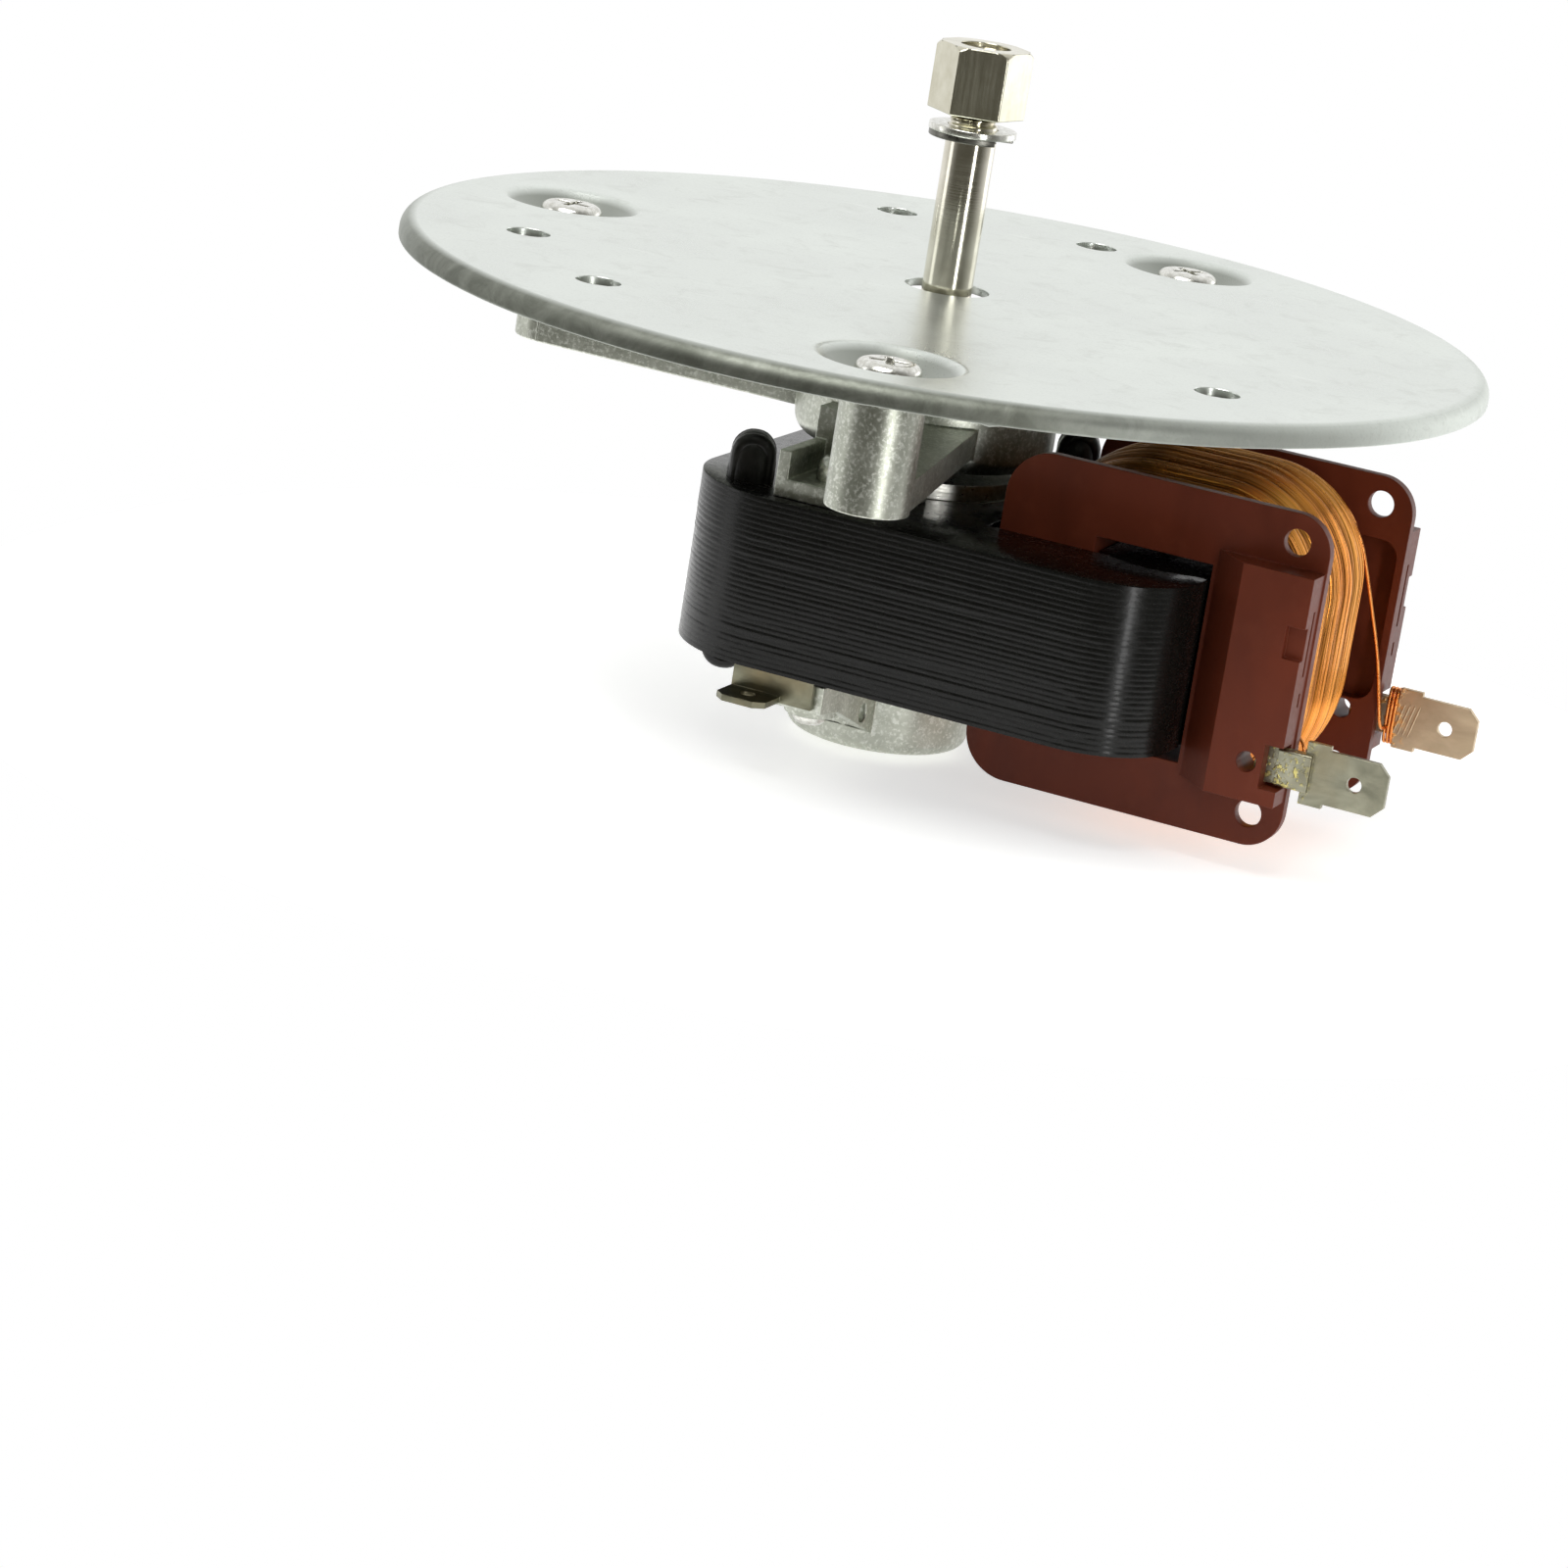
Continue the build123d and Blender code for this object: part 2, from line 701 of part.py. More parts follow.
def winding_section(y):
    # the winding's outer outline at one distance from its middle
    sink = 2 * winding_sink(y)
    wide, tall = winding_right - winding_left, flange_top - flange_bottom
    middle = ((winding_left + winding_right) / 2, y, winding_mid)
    plane = Plane(middle, x_dir=(1, 0, 0), z_dir=(0, -1, 0))
    return plane * RectangleRounded(wide - sink, tall - sink, winding_r - sink / 2)


def coil_winding():
    # a rounded loop of wire, level in the middle and lower towards the flanges
    edge, level = flange_in - end_gap, winding_level / 2
    body = loft([winding_section(y) for y in (-edge, -level, level, edge)], ruled=True)
    hole_x = (tube_left - end_gap, tube_right + end_gap)
    return body - block(hole_x, (-2 * edge, 2 * edge), (tube_bottom - end_gap, tube_top + end_gap))


def terminal(side):
    # a flat spade blade with shoulders, a crimp and a neck pushed into the block
    z = terminal_z
    thick = (-blade_t / 2, blade_t / 2)
    half = blade_width / 2
    blade = block((blade_start, blade_end), thick, (z - half, z + half))
    body = chamfer(blade.edges().filter_by(Axis.Y).group_by(Axis.X)[-1], blade_corner)
    half = shoulder_width / 2
    body += block((blade_start - shoulder_length, blade_start + shoulder_step), thick, (z - half, z + half))
    half = neck_width / 2
    body += block((neck_root + slip, blade_start - 1), thick, (z - half, z + half))
    crimp_end = blade_start - 0.6 * shoulder_length
    deep = (-blade_t / 2 - crimp_bulk, 0)
    crimp = block((crimp_end - crimp_length, crimp_end), deep, (z - half, z + half))
    body += fillet(crimp.edges().filter_by(Axis.X).group_by(Axis.Y)[0], 0.4 * crimp_bulk)
    hole_at = Pos(blade_end - blade_hole_inset, 0, z)
    body -= hole_at * Rot(90, 0, 0) * Cylinder(blade_hole_r, 4 * blade_t)
    if side > 0:
        body = mirror(body, Plane.XZ)
    return Pos(0, side * terminal_y, 0) * body


def lead(side, start, corner, cross):
    # a thin wire from the winding, beside the flange and over its edge, to a terminal's neck
    start_z = terminal_z + start[1]
    run = max(0.0, abs(start_z - winding_mid) - (flange_top - flange_bottom) / 2 + winding_r)
    reach = math.sqrt((winding_r - winding_sink(start[0])) ** 2 - run ** 2)
    start_x = winding_right - winding_r + reach + lead_r + end_gap
    beside = side * (flange_in - lead_r - 2 * end_gap)
    past = flange_right + lead_r + 3 * end_gap
    face = side * (terminal_y - blade_t / 2 - lead_r - slip)
    path = FilletPolyline(
        (start_x, side * start[0], start_z),
        (flange_right - corner[0], beside, terminal_z + corner[1]),
        (past, beside, terminal_z + cross),
        (past, face, terminal_z + cross),
        radius=lead_bend_r,
    )
    return sweep(Plane(path @ 0, z_dir=path % 0) * Circle(lead_r), path)


def coil_lead_front():
    return lead(-1, front_lead_start, front_lead_corner, front_lead_cross)


def coil_lead_rear():
    return lead(1, rear_lead_start, rear_lead_corner, rear_lead_cross)


parts = {
    "mounting_plate": mounting_plate(),
    "plate_screws": plate_screws(),
    "shaft": shaft(),
    "retaining_clip": retaining_clip(),
    "shaft_washer": shaft_washer(),
    "shaft_nut": shaft_nut(),
    "top_bracket": top_bracket(),
    "bottom_bracket": bottom_bracket(),
    "bracket_screws": bracket_screws(),
    "earth_tag": earth_tag(),
    "stator_core": stator_core(),
    "core_yoke": core_yoke(),
    "shading_rings": shading_rings(),
    "rotor_core": rotor_core(),
    "rotor_cage": rotor_cage(),
    "rotor_spacers": rotor_spacers(),
    "thrust_washers": thrust_washers(),
    "upper_bearing": bearing(upper_bearing_low),
    "lower_bearing": bearing(lower_seat),
    "upper_bearing_spring": bearing_spring(upper_bearing_low - spring_t),
    "lower_bearing_spring": bearing_spring(lower_bearing_high),
    "upper_felt": felt(upper_bearing_low + (bearing_length - felt_t) / 2),
    "lower_felt": felt(lower_seat + (bearing_length - felt_t) / 2),
    "coil_bobbin": coil_bobbin(),
    "coil_winding": coil_winding(),
    "terminal_front": terminal(-1),
    "terminal_rear": terminal(1),
    "coil_lead_front": coil_lead_front(),
    "coil_lead_rear": coil_lead_rear(),
}

os.makedirs("parts", exist_ok=True)
for name, shape in parts.items():
    solids = shape if isinstance(shape, list) else [shape]
    export_step(Compound(children=solids) if len(solids) > 1 else solids[0], f"parts/{name}.step")
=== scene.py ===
import json
import math
import bmesh
import bpy
import numpy as np
from itertools import product
from mathutils import Matrix, Vector
from mathutils.geometry import delaunay_2d_cdt


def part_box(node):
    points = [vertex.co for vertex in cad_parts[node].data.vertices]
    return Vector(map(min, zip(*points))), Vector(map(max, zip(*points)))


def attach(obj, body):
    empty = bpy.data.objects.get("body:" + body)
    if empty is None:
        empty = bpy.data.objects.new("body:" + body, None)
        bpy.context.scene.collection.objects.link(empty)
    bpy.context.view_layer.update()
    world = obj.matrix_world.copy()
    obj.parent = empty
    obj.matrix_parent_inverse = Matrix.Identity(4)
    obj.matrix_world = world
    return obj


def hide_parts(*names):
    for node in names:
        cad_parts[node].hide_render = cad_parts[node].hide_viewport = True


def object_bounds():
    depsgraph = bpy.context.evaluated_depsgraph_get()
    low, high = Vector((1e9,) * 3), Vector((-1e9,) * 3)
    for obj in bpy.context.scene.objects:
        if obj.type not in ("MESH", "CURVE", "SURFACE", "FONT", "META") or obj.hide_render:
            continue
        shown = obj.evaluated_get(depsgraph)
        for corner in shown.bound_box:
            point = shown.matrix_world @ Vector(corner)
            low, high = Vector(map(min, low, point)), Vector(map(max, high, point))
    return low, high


# Shaded-pole fan motor behind a round mounting plate: its looks, camera and studio.
# Lengths in the dictionaries are millimetres and angles are degrees unless a note says otherwise.
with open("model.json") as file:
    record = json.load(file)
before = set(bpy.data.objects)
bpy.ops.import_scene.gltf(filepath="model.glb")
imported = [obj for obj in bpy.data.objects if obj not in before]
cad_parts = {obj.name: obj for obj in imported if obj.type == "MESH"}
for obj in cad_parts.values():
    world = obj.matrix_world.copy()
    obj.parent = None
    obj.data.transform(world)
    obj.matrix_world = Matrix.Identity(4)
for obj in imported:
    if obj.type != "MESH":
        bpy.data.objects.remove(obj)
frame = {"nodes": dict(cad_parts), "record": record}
cadLow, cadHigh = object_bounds()
mm = 0.001
record = frame["record"]
bodyOf = {node: body for body, nodes in record["behaviour"]["bodies"].items() for node in nodes}
slotOf = {part["node"]: part["material_slot"] for part in record["subparts"]}
print("frame loaded:", len(frame["nodes"]), "nodes")


# Camera: a pinhole at the photograph's angle
camera = {
    "focalPixels": 5252.6,
    "imagePixels": 1600,
    "sensor": 36.0,
    "azimuth": 21.93,
    "elevation": 15.72,
    "roll": 8.98,
    "distance": 609.25,
    "aside": (19.30, 58.78),  # where the origin sits in front of the lens, right and up
    "clip": (0.01, 20.0),  # metres
}


def cameraAxes():
    # right, up and back directions: back from azimuth and elevation, then a turn about it
    turns = (camera["azimuth"], camera["elevation"], camera["roll"])
    azimuth, elevation, roll = map(math.radians, turns)
    back = np.array([
        math.sin(azimuth) * math.cos(elevation),
        -math.cos(azimuth) * math.cos(elevation),
        math.sin(elevation),
    ])
    level = np.array([math.cos(azimuth), math.sin(azimuth), 0.0])
    upright = np.cross(back, level)
    right = math.cos(roll) * level + math.sin(roll) * upright
    up = math.cos(roll) * upright - math.sin(roll) * level
    return right, up, back


def setCamera():
    right, up, back = cameraAxes()
    aside = camera["aside"]
    place = (camera["distance"] * back - aside[0] * right - aside[1] * up) * mm
    data = bpy.data.cameras.new("camera")
    data.sensor_width = camera["sensor"]
    data.lens = camera["sensor"] * camera["focalPixels"] / camera["imagePixels"]
    data.clip_start, data.clip_end = camera["clip"]
    eye = bpy.data.objects.new("camera", data)
    turn = Matrix(np.stack([right, up, back], 1).tolist()).to_4x4()
    eye.matrix_world = Matrix.Translation(Vector(place)) @ turn
    bpy.context.scene.collection.objects.link(eye)
    bpy.context.scene.camera = eye


# Materials are node trees on Object coordinates, so a texture scale is in repeats per metre
class Finish:
    # one surface finish, with short calls for the nodes that feed its shader
    def __init__(self, name, **sockets):
        self.material = bpy.data.materials.new(name)
        self.material.use_nodes = True
        self.tree = self.material.node_tree
        self.shader = self.tree.nodes["Principled BSDF"]
        self.place = self.tree.nodes.new("ShaderNodeTexCoord").outputs["Object"]
        for key, value in sockets.items():
            self.shader.inputs[key.replace("_", " ")].default_value = value

    def node(self, kind, settings=None, **sockets):
        made = self.tree.nodes.new(kind)
        for key, value in (settings or {}).items():
            setattr(made, key, value)
        for key, value in sockets.items():
            self.feed(made.inputs[key.replace("_", " ")], value)
        return made

    def feed(self, socket, value):
        if isinstance(value, bpy.types.NodeSocket):
            self.tree.links.new(value, socket)
        else:
            socket.default_value = value

    def stretched(self, scales):
        # the place, scaled by its own factor along each axis
        return self.node("ShaderNodeMapping", Vector=self.place, Scale=scales).outputs["Vector"]

    def noise(self, scale, detail=3.0, rough=0.5, stretch=None, warp=0.0):
        vector = self.stretched(stretch) if stretch else self.place
        made = self.node("ShaderNodeTexNoise", None, Vector=vector, Scale=scale, Detail=detail,
                         Roughness=rough, Distortion=warp)
        return made.outputs["Fac"]

    def along(self, axis):
        # the place along X, Y or Z; Z is the height above the plate's face
        return self.node("ShaderNodeSeparateXYZ", Vector=self.place).outputs[axis]

    def distance(self, point):
        # distance from a point, in metres
        between = self.node("ShaderNodeVectorMath", {"operation": "DISTANCE"}, Vector=self.place)
        between.inputs[1].default_value = point
        return between.outputs["Value"]

    def fromAxis(self):
        # distance from the shaft's axis
        flat = self.stretched((1.0, 1.0, 0.0))
        made = self.node("ShaderNodeVectorMath", {"operation": "LENGTH"}, Vector=flat)
        return made.outputs["Value"]

    def spread(self, value, low, high, start=0.0, end=1.0):
        # value from low..high to start..end, held at both ends
        made = self.node("ShaderNodeMapRange", {"clamp": True}, Value=value)
        limits = {"From Min": low, "From Max": high, "To Min": start, "To Max": end}
        for key, number in limits.items():
            made.inputs[key].default_value = number
        return made.outputs["Result"]

    def blend(self, factor, first, second):
        # the first colour at a factor of 0 and the second at 1
        made = self.node("ShaderNodeMix", {"data_type": "RGBA"})
        self.feed(made.inputs[0], factor)
        self.feed(made.inputs[6], first)
        self.feed(made.inputs[7], second)
        return made.outputs[2]

    def maths(self, operation, first, second=0.0):
        made = self.node("ShaderNodeMath", {"operation": operation})
        self.feed(made.inputs[0], first)
        self.feed(made.inputs[1], second)
        return made.outputs[0]

    def bump(self, height, depth, under=None):
        # depth in metres for a height from 0 to 1
        made = self.node("ShaderNodeBump", None, Height=height, Distance=depth)
        if under is not None:
            self.feed(made.inputs["Normal"], under)
        return made.outputs["Normal"]

    def paint(self, **sockets):
        for key, value in sockets.items():
            self.feed(self.shader.inputs[key.replace("_", " ")], value)
        return self.material


def shade(red, green, blue):
    # a colour given as it looks, 0 to 255, as the linear values that a shader takes
    levels = np.array([red, green, blue]) / 255
    linear = np.where(levels <= 0.04045, levels / 12.92, ((levels + 0.055) / 1.055) ** 2.4)
    return (*linear.tolist(), 1.0)


# Where marks that follow a piece's form begin and end, in metres
marks = {
    "rimFromAxis": (0.0631, 0.0642),
    "lipHeight": (-0.0026, -0.0022),
    # where the painted shade on the rolled rim is strongest, and how far it reaches
    "rimShadeCentre": (-0.008, -0.060, 0.0),
    "rimShadeReach": (0.040, 0.085),
    # where the painted shade below the plate's face begins
    "underShadeHeight": (-0.0002, -0.0009),
    "underShadeFromAxis": (0.0642, 0.0641),
    # where the painted shadow of the plate on the winding fades in
    "plateShadowX": (0.034, 0.024),
    "fluxFromAxis": (0.0630, 0.0612),
}


def plateSteelFinish():
    # zinc-coated sheet: pale, satin, with faint clouds, fine grain and rubbed patches; the rolled
    # rim, set off by its distance from the axis, carries painted shade, darkest near one point of
    # it on the near side and eased on its lip, and the metal below the face, in the dimples, the
    # holes and underneath, carries painted shade too
    f = Finish("plateSteel", Metallic=1.0)
    clouds = f.noise(45, 4, 0.55)
    patches = f.noise(210, 5, 0.7, warp=0.8)
    grain = f.noise(2600, 2, 0.6)
    scratch = f.noise(700, 2, 0.6, stretch=(0.12, 1.0, 1.0), warp=0.3)
    tone = f.blend(f.spread(clouds, 0.35, 0.65), shade(213, 218, 212), shade(223, 228, 222))
    tone = f.blend(f.spread(patches, 0.52, 0.70, 0.0, 0.5), tone, shade(196, 200, 193))
    tone = f.blend(f.spread(grain, 0.55, 0.8, 0.0, 0.4), tone, shade(188, 192, 186))
    tone = f.blend(f.spread(scratch, 0.66, 0.74, 0.0, 0.35), tone, shade(240, 243, 238))
    # painted shade on the rolled rim: strongest near one point on the near side, eased to 0.6 on
    # its lip
    lip = f.spread(f.along("Z"), *marks["lipHeight"], 0.6, 1.0)
    rim = f.maths("MULTIPLY", f.spread(f.fromAxis(), *marks["rimFromAxis"]), lip)
    paintedRimShade = f.blend(f.spread(patches, 0.4, 0.65), shade(108, 111, 102), shade(134, 137, 128))
    rimShadeStrength = f.spread(f.distance(marks["rimShadeCentre"]), *marks["rimShadeReach"], 1.0, 0.1)
    tone = f.blend(f.maths("MULTIPLY", rim, rimShadeStrength), tone, paintedRimShade)
    # painted shade on the metal below the face: in the dimples, the holes and underneath
    below = f.spread(f.along("Z"), *marks["underShadeHeight"])
    sunk = f.maths("MULTIPLY", below, f.spread(f.fromAxis(), *marks["underShadeFromAxis"]))
    tone = f.blend(f.maths("MULTIPLY", sunk, 0.9), tone, shade(146, 150, 142))
    rough = f.spread(clouds, 0.3, 0.7, 0.27, 0.36)
    rough = f.maths("ADD", rough, f.spread(grain, 0.3, 0.7, -0.03, 0.03))
    rough = f.maths("ADD", rough, f.maths("MULTIPLY", rim, 0.22))
    height = f.maths("ADD", f.maths("MULTIPLY", scratch, 0.5), f.maths("MULTIPLY", grain, 0.5))
    waves = f.bump(f.noise(28, 1, 0.4), 0.00012)
    return f.paint(Base_Color=tone, Roughness=rough, Normal=f.bump(height, 0.000007, waves))


def castFinish():
    # die-cast aluminium: grey satin skin, grainy, with flow marks and small bright facets
    f = Finish("dieCast", Metallic=1.0)
    skin = f.noise(420, 4, 0.6)
    grain = f.noise(2000, 3, 0.7)
    flow = f.noise(160, 3, 0.5, stretch=(1.0, 1.0, 0.3), warp=0.6)
    tone = f.blend(f.spread(skin, 0.3, 0.7), shade(168, 171, 158), shade(198, 201, 189))
    tone = f.blend(f.spread(flow, 0.55, 0.75, 0.0, 0.35), tone, shade(140, 142, 130))
    tone = f.blend(f.spread(grain, 0.5, 0.62, 0.0, 0.6), tone, shade(236, 238, 230))
    rough = f.spread(grain, 0.25, 0.75, 0.32, 0.48)
    height = f.maths("ADD", f.maths("MULTIPLY", grain, 0.5), f.maths("MULTIPLY", skin, 0.8))
    return f.paint(Base_Color=tone, Roughness=rough, Normal=f.bump(height, 0.000022))


def shaftFinish():
    # ground and nickel-plated steel: nearly a mirror, with fine rings round the shaft
    f = Finish("shaftSteel", Metallic=1.0)
    rings = f.noise(6000, 2, 0.6, stretch=(0.02, 0.02, 1.0))
    stain = f.noise(300, 3, 0.5)
    tone = f.blend(f.spread(stain, 0.4, 0.7), shade(226, 222, 208), shade(205, 200, 184))
    rough = f.spread(rings, 0.3, 0.7, 0.10, 0.16)
    return f.paint(Base_Color=tone, Roughness=rough, Normal=f.bump(rings, 0.0000036))


def nutFinish():
    # nickel plate on milled flats: warm grey with faint up-and-down tool marks
    f = Finish("nutNickel", Metallic=1.0)
    marks = f.noise(3200, 2, 0.6, stretch=(1.0, 1.0, 0.05))
    stain = f.noise(260, 3, 0.6)
    tone = f.blend(f.spread(stain, 0.35, 0.7), shade(220, 217, 200), shade(202, 198, 178))
    rough = f.spread(marks, 0.3, 0.7, 0.16, 0.26)
    return f.paint(Base_Color=tone, Roughness=rough, Normal=f.bump(marks, 0.000005))


def springFinish():
    # dark oiled spring steel
    f = Finish("springSteel", Metallic=1.0)
    skin = f.noise(900, 3, 0.6)
    tone = f.blend(f.spread(skin, 0.3, 0.7), shade(96, 95, 90), shade(132, 131, 124))
    return f.paint(Base_Color=tone, Roughness=f.spread(skin, 0.3, 0.7, 0.25, 0.42),
                   Normal=f.bump(skin, 0.00001))


def screwFinish():
    # bright zinc on a cold-formed head
    f = Finish("screwZinc", Metallic=1.0)
    skin = f.noise(1500, 3, 0.6)
    tone = f.blend(f.spread(skin, 0.35, 0.7), shade(236, 236, 230), shade(196, 195, 186))
    return f.paint(Base_Color=tone, Roughness=f.spread(skin, 0.3, 0.7, 0.16, 0.30),
                   Normal=f.bump(skin, 0.00002))


def coreFinish():
    # stacked steel sheets under black varnish: glossy, thinner on the sheet edges
    f = Finish("coreVarnish", Specular_IOR_Level=0.21, Coat_Weight=0.05, Coat_Roughness=0.08)
    pool = f.noise(180, 3, 0.5, stretch=(1.0, 1.0, 0.4))
    edge = f.noise(900, 3, 0.6, stretch=(1.0, 1.0, 2.4))
    dust = f.noise(2400, 2, 0.5)
    tone = f.blend(f.spread(pool, 0.35, 0.7), shade(15, 15, 13), shade(21, 21, 19))
    tone = f.blend(f.spread(dust, 0.72, 0.82, 0.0, 0.25), tone, shade(64, 64, 58))
    rough = f.spread(edge, 0.3, 0.7, 0.22, 0.30)
    height = f.maths("ADD", edge, f.maths("MULTIPLY", pool, 0.7))
    return f.paint(Base_Color=tone, Roughness=rough, Normal=f.bump(height, 0.000009))


def rotorFinish():
    # turned steel sheets of the rotor
    f = Finish("rotorSteel", Metallic=1.0)
    rings = f.noise(1500, 2, 0.6, stretch=(0.05, 0.05, 1.0))
    tone = f.blend(f.spread(rings, 0.3, 0.7), shade(120, 116, 108), shade(168, 164, 154))
    return f.paint(Base_Color=tone, Roughness=f.spread(rings, 0.3, 0.7, 0.28, 0.42),
                   Normal=f.bump(rings, 0.00003))


def cageFinish():
    # cast aluminium end rings, machined bright, with turning lines round them that stretch every
    # reflection upwards
    f = Finish("rotorCage", Metallic=1.0)
    marks = f.noise(1100, 3, 0.6)
    lines = f.noise(3400, 2, 0.6, stretch=(0.04, 0.04, 1.0))
    tone = f.blend(f.spread(marks, 0.3, 0.7), shade(238, 237, 230), shade(205, 204, 195))
    return f.paint(Base_Color=tone, Roughness=f.spread(marks, 0.3, 0.7, 0.26, 0.38),
                   Normal=f.bump(lines, 0.00006))


def ringFinish():
    # shading rings under thick black varnish
    f = Finish("shadingVarnish", Specular_IOR_Level=0.25, Coat_Weight=0.2, Coat_Roughness=0.12)
    runs = f.noise(420, 3, 0.6)
    tone = f.blend(f.spread(runs, 0.4, 0.75), shade(17, 17, 15), shade(34, 32, 28))
    return f.paint(Base_Color=tone, Roughness=f.spread(runs, 0.3, 0.7, 0.26, 0.45),
                   Normal=f.bump(runs, 0.00018))


def bobbinFinish():
    # red-brown moulded plastic: satin, with flow streaks, fine pits and a slightly chalky bloom
    f = Finish("bobbinPlastic", Specular_IOR_Level=0.20)
    streaks = f.noise(75, 4, 0.55, stretch=(1.0, 1.0, 0.45), warp=0.8)
    pits = f.noise(2100, 2, 0.5)
    bloom = f.noise(240, 4, 0.6)
    tone = f.blend(f.spread(streaks, 0.3, 0.7), shade(90, 39, 24), shade(112, 50, 31))
    tone = f.blend(f.spread(bloom, 0.55, 0.8, 0.0, 0.2), tone, shade(134, 70, 48))
    rough = f.spread(streaks, 0.3, 0.7, 0.34, 0.44)
    rough = f.maths("ADD", rough, f.spread(pits, 0.3, 0.7, -0.03, 0.05))
    skin = f.bump(f.noise(130, 2, 0.4), 0.00010)
    return f.paint(Base_Color=tone, Roughness=rough, Normal=f.bump(pits, 0.000012, skin))


def copperFinish():
    # enamelled copper wire: orange metal under a thin clear coat, with painted shade between the
    # turns, in the creases and on the end faces, and a painted shadow of the plate on the side
    # towards the hub
    f = Finish("copperWire", Metallic=1.0, Coat_Weight=0.12, Coat_Roughness=0.08)
    # the painted shade that the winding keeps in its point attribute depth
    sunk = f.node("ShaderNodeAttribute", {"attribute_name": "depth"}).outputs["Fac"]
    drift = f.noise(140, 4, 0.6, stretch=(0.35, 1.0, 0.35))
    tone = f.blend(f.spread(drift, 0.3, 0.7), shade(236, 143, 52), shade(255, 178, 82))
    # painted shadow of the plate over the winding, on the side towards the hub
    tone = f.blend(f.spread(f.along("X"), *marks["plateShadowX"], 0.0, 0.9), tone, shade(92, 72, 56))
    tone = f.blend(f.spread(sunk, 0.25, 1.0), tone, shade(112, 50, 15))
    return f.paint(Base_Color=tone, Roughness=f.spread(drift, 0.3, 0.7, 0.20, 0.32))


def leadFinish():
    # one strand of the same enamelled wire
    f = Finish("copperLead", Metallic=1.0, Coat_Weight=0.4, Coat_Roughness=0.08)
    drift = f.noise(700, 3, 0.6)
    tone = f.blend(f.spread(drift, 0.3, 0.7), shade(214, 128, 58), shade(238, 160, 84))
    return f.paint(Base_Color=tone, Roughness=f.spread(drift, 0.3, 0.7, 0.22, 0.36))


def terminalFinish(name, pale, dull, flux=None):
    # tin-plated brass: soft grey with rolling lines, smears and dull spots; at the end that grips
    # the wire, the nearer to the axis, dried flux lies in yellowish specks
    f = Finish(name, Metallic=1.0)
    smear = f.noise(300, 4, 0.6, stretch=(0.5, 1.0, 1.0), warp=0.5)
    lines = f.noise(2600, 2, 0.6, stretch=(0.05, 1.0, 1.0))
    stain = f.noise(120, 3, 0.5)
    tone = f.blend(f.spread(smear, 0.3, 0.7), pale, dull)
    tone = f.blend(f.spread(stain, 0.5, 0.75, 0.0, 0.5), tone, shade(150, 132, 96))
    rough = f.spread(smear, 0.3, 0.7, 0.30, 0.46)
    height = f.maths("ADD", lines, f.maths("MULTIPLY", smear, 0.6))
    if flux:
        specks = f.maths("MULTIPLY", f.spread(f.noise(1500, 3, 0.6), 0.52, 0.62),
                         f.spread(f.fromAxis(), *marks["fluxFromAxis"]))
        tone = f.blend(specks, tone, flux)
        height = f.maths("ADD", height, f.maths("MULTIPLY", specks, 6.0))
    return f.paint(Base_Color=tone, Roughness=rough, Normal=f.bump(height, 0.00001))


def bronzeFinish():
    # sintered bronze, oiled
    f = Finish("sinteredBronze", Metallic=1.0)
    pores = f.noise(2600, 2, 0.6)
    tone = f.blend(f.spread(pores, 0.4, 0.65), shade(120, 88, 52), shade(168, 128, 82))
    return f.paint(Base_Color=tone, Roughness=f.spread(pores, 0.3, 0.7, 0.34, 0.5),
                   Normal=f.bump(pores, 0.00003))


def feltFinish():
    # oiled wool felt
    f = Finish("oilFelt", Sheen_Weight=0.4, Roughness=0.95)
    fibres = f.noise(1900, 4, 0.7, warp=1.5)
    tone = f.blend(f.spread(fibres, 0.3, 0.7), shade(148, 138, 112), shade(196, 188, 164))
    return f.paint(Base_Color=tone, Normal=f.bump(fibres, 0.00015))


def spacerFinish():
    # black moulded plastic spacers and washers
    f = Finish("spacerPlastic")
    skin = f.noise(800, 3, 0.6)
    tone = f.blend(f.spread(skin, 0.3, 0.7), shade(34, 34, 34), shade(50, 50, 48))
    return f.paint(Base_Color=tone, Roughness=f.spread(skin, 0.3, 0.7, 0.38, 0.55),
                   Normal=f.bump(skin, 0.00002))


finishes = {
    "plate_steel": plateSteelFinish(),
    "screw_steel": screwFinish(),
    "shaft_steel": shaftFinish(),
    "spring_steel": springFinish(),
    "die_cast": castFinish(),
    "core_steel": coreFinish(),
    "rotor_steel": rotorFinish(),
    "rotor_aluminium": cageFinish(),
    "shading_copper": ringFinish(),
    "winding_copper": copperFinish(),
    "bobbin_plastic": bobbinFinish(),
    "terminal_tin": terminalFinish("terminalTin", shade(164, 162, 142), shade(126, 125, 108),
                                   shade(212, 200, 128)),
    "tag_steel": terminalFinish("tagSteel", shade(132, 131, 112), shade(92, 91, 76)),
    "bearing_bronze": bronzeFinish(),
    "felt": feltFinish(),
    "rotor_plastic": spacerFinish(),
}
# the nut, the leads and the rear terminal differ from the rest of their slots
nutNickel = nutFinish()
copperLead = leadFinish()
rearTin = terminalFinish("rearTin", shade(206, 186, 156), shade(176, 158, 132),
                         shade(232, 176, 104))
print("materials made:", len(finishes) + 3)


